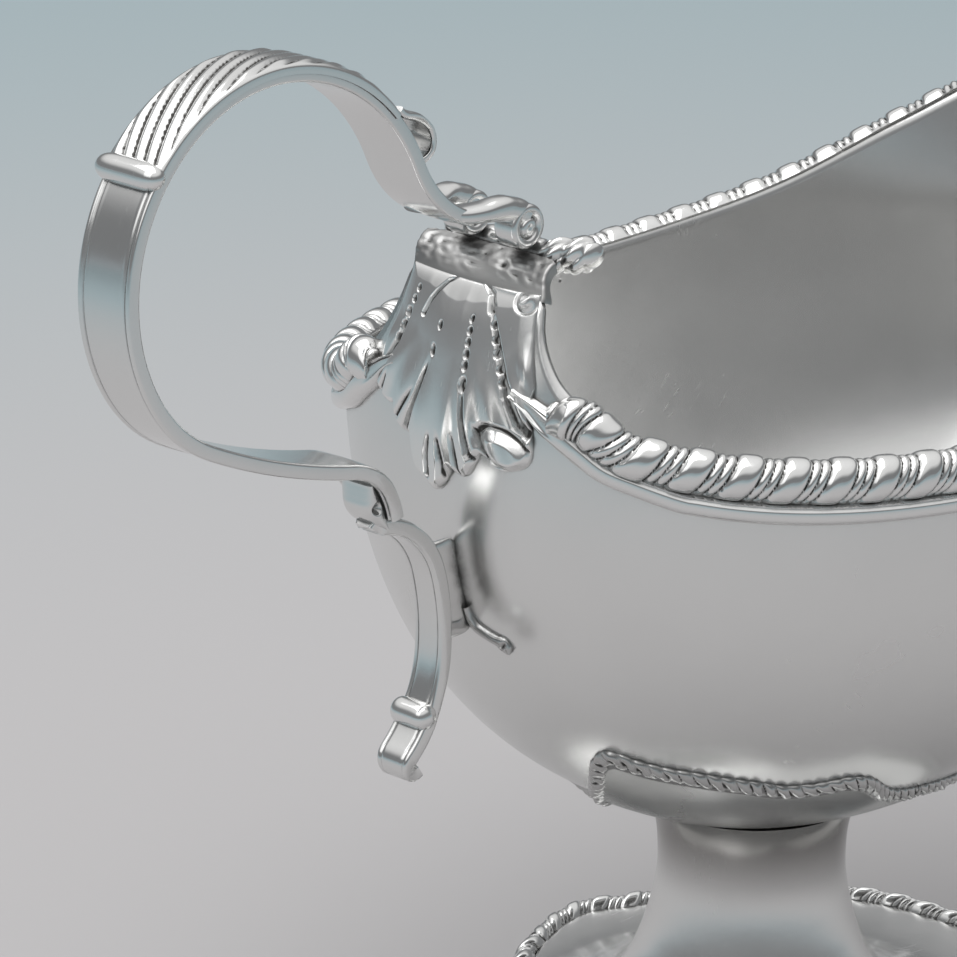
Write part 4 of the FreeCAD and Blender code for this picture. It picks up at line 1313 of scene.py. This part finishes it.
# ---- floor, light and camera

def floor():
    """A wide pale floor whose tone turns from warm to cool grey with the distance."""
    bm = bmesh.new()
    bmesh.ops.create_circle(bm, cap_ends=True, radius=6.0, segments=96)
    mesh = mesh_of("floor", bm)
    f = Finish("floor_paper")
    coords = f.add("TexCoord").outputs["Object"]
    away = f.add("VectorMath", {0: coords}, operation="LENGTH").outputs["Value"]
    near, far = (0.50, 0.49, 0.495, 1.0), (0.385, 0.47, 0.50, 1.0)
    tone = f.blend(f.ramp(away, 0.12, 0.75), near, far)
    f.join(f.shader.inputs["Base Color"], tone)
    f.join(f.shader.inputs["Roughness"], 0.9)
    f.join(f.shader.inputs["Specular IOR Level"], 0.0)
    mesh.materials.append(f.material)
    added("floor", mesh)


def surroundings():
    """A studio: dim walls near the horizon and a large soft light overhead."""
    world = bpy.data.worlds.new("studio")
    bpy.context.scene.world = world
    world.use_nodes = True
    tree = world.node_tree
    background = tree.nodes["Background"]
    coords = tree.nodes.new("ShaderNodeTexCoord")
    split = tree.nodes.new("ShaderNodeSeparateXYZ")
    tree.links.new(coords.outputs["Generated"], split.inputs[0])
    ramp = tree.nodes.new("ShaderNodeValToRGB")
    ramp.color_ramp.interpolation = "EASE"
    tree.links.new(split.outputs["Z"], ramp.inputs[0])
    below, above = ramp.color_ramp.elements
    below.color, above.color = (0.33, 0.36, 0.38, 1), (0.95, 0.95, 0.95, 1)
    walls, high = (0.22, 0.225, 0.23, 1), (0.8, 0.8, 0.8, 1)
    for position, colour in ((0.06, walls), (0.3, walls), (0.62, high)):
        ramp.color_ramp.elements.new(position).color = colour
    tree.links.new(ramp.outputs[0], background.inputs["Color"])
    background.inputs["Strength"].default_value = 1.0


def lamp(name, place, target, size, power):
    """A large soft lamp aimed at a point, in metres and watts."""
    light = bpy.data.lights.new(name, "AREA")
    light.shape = "RECTANGLE"
    light.size, light.size_y = size
    light.energy = power
    obj = added(name, light)
    obj.location = place
    obj.rotation_euler = (Vector(target) - Vector(place)).to_track_quat("-Z", "Y").to_euler()


def camera(place, tilt, turn, angle):
    """The camera at a place in metres; its tilt, turn and angle of view are in degrees."""
    data = bpy.data.cameras.new("camera")
    data.angle = math.radians(angle)
    data.clip_start = 0.01
    obj = added("camera", data)
    obj.location = place
    obj.rotation_euler = (math.radians(tilt), 0, math.radians(turn))
    bpy.context.scene.camera = obj


# ---- putting it together

sheet_silver = silver("raised_silver", 0.775, 0.23, tarnish_and_shade_strength=1.15, corners=0.0042)
cast_silver = silver("cast_silver", 0.8, 0.15, tarnish_and_shade_strength=1.3, ripple=0.5)
plain_silver = silver("strap_silver", 0.76, 0.17, scratches=0.4, ripple=0.6)
dark_silver = silver("tarnished_silver", 0.5, 0.27, scratches=0.4, tarnish_and_shade_strength=1.5, dull=0.4)
solder_silver = silver("soldered_silver", 0.45, 0.36, scratches=0.4, tarnish_and_shade_strength=1.6, ripple=3.0, dull=0.6)
chased_silver = silver("chased_silver", 0.83, 0.24, tarnish_and_shade_strength=1.3, ripple=0.8)
# painted shade: the stem's tone darkens towards its top, from 26 to 37 mm up, just under the bowl
stem_silver = silver("stem_silver", 0.78, 0.23, painted_shade_levels=(0.026, 0.037))
shaded_silver = silver("shaded_silver", 0.27, 0.24, tarnish_and_shade_strength=1.3, dull=0.3)

body_sheet(sheet_silver)
past_lip = 200.0
lip_phase = GADROON_PHASE - rim_angles(past_lip, LIP_START_X, 0.0, 10)[1] / GADROON_PITCH
for label, side in (("left", 1), ("right", -1)):
    stretch = (LIP_START_X, BORDER_BACK_X, GADROON_PHASE, side)
    lip_stretch = (past_lip, LIP_START_X, lip_phase, side)
    gadroon_border(f"rim_lobes_{label}", *stretch, cast_silver, f"rim_gadroon_{label}")
    gadroon_border(f"rim_lobes_lip_{label}", *lip_stretch, cast_silver, "rim_gadroon_lip")
    rim_wire(f"rim_band_{label}", side, cast_silver, f"rim_wire_{label}")
    crest_knop(f"crest_beads_{label}", side, cast_silver, f"crest_knop_{label}")
    terminal(f"handle_curl_{label}", side, plain_silver, f"handle_terminal_{label}")
    seat_leaf(f"seat_leaf_split_{label}", side, dark_silver, f"seat_leaf_{label}")
crest_plate(solder_silver)
crest_bar(cast_silver)
shell_mount(chased_silver)
upper_scroll(plain_silver)
leaf_cap(cast_silver)
band_centre = spot(crown_begin, STRAP_WALL / 2 + CAP_DEPTH / 2)
rolled_band("handle_band_rolled", band_centre, BAND_RADIUS, BAND_HALF, cast_silver, "handle_cross_band")
thumb_scroll(cast_silver)
lower_scroll(plain_silver)
collar_centre = spot(collar_stop, -LOWER_WALL / 2)
rolled_band("handle_collar_rolled", collar_centre, COLLAR_RADIUS, COLLAR_HALF, cast_silver, "handle_collar")
lower_seat(plain_silver)
calyx_plate(shaded_silver)
for label, calyx_corner, foot_corner in zip(CORNERS, CALYX, FOOT):
    calyx_border(f"calyx_rope_{label}", *calyx_corner, dark_silver, f"calyx_gadroon_{label}")
    foot_border(f"foot_lobes_{label}", *foot_corner, cast_silver, f"foot_gadroon_{label}")
stem(stem_silver)
foot_plate(sheet_silver)
foot_wire(plain_silver)

floor()
surroundings()
lamp("overhead", place=(-0.2, 0.1, 1.1), target=(0, 0, 0.1), size=(1.2, 1.0), power=5.6)
lamp("side", place=(-0.9, -0.1, 0.85), target=(-0.02, 0, 0.1), size=(0.8, 0.8), power=1.2)
camera(place=(-0.47744, -0.40898, 0.30114), tilt=71, turn=-46, angle=11.01)
bpy.context.scene.view_settings.view_transform = "Standard"
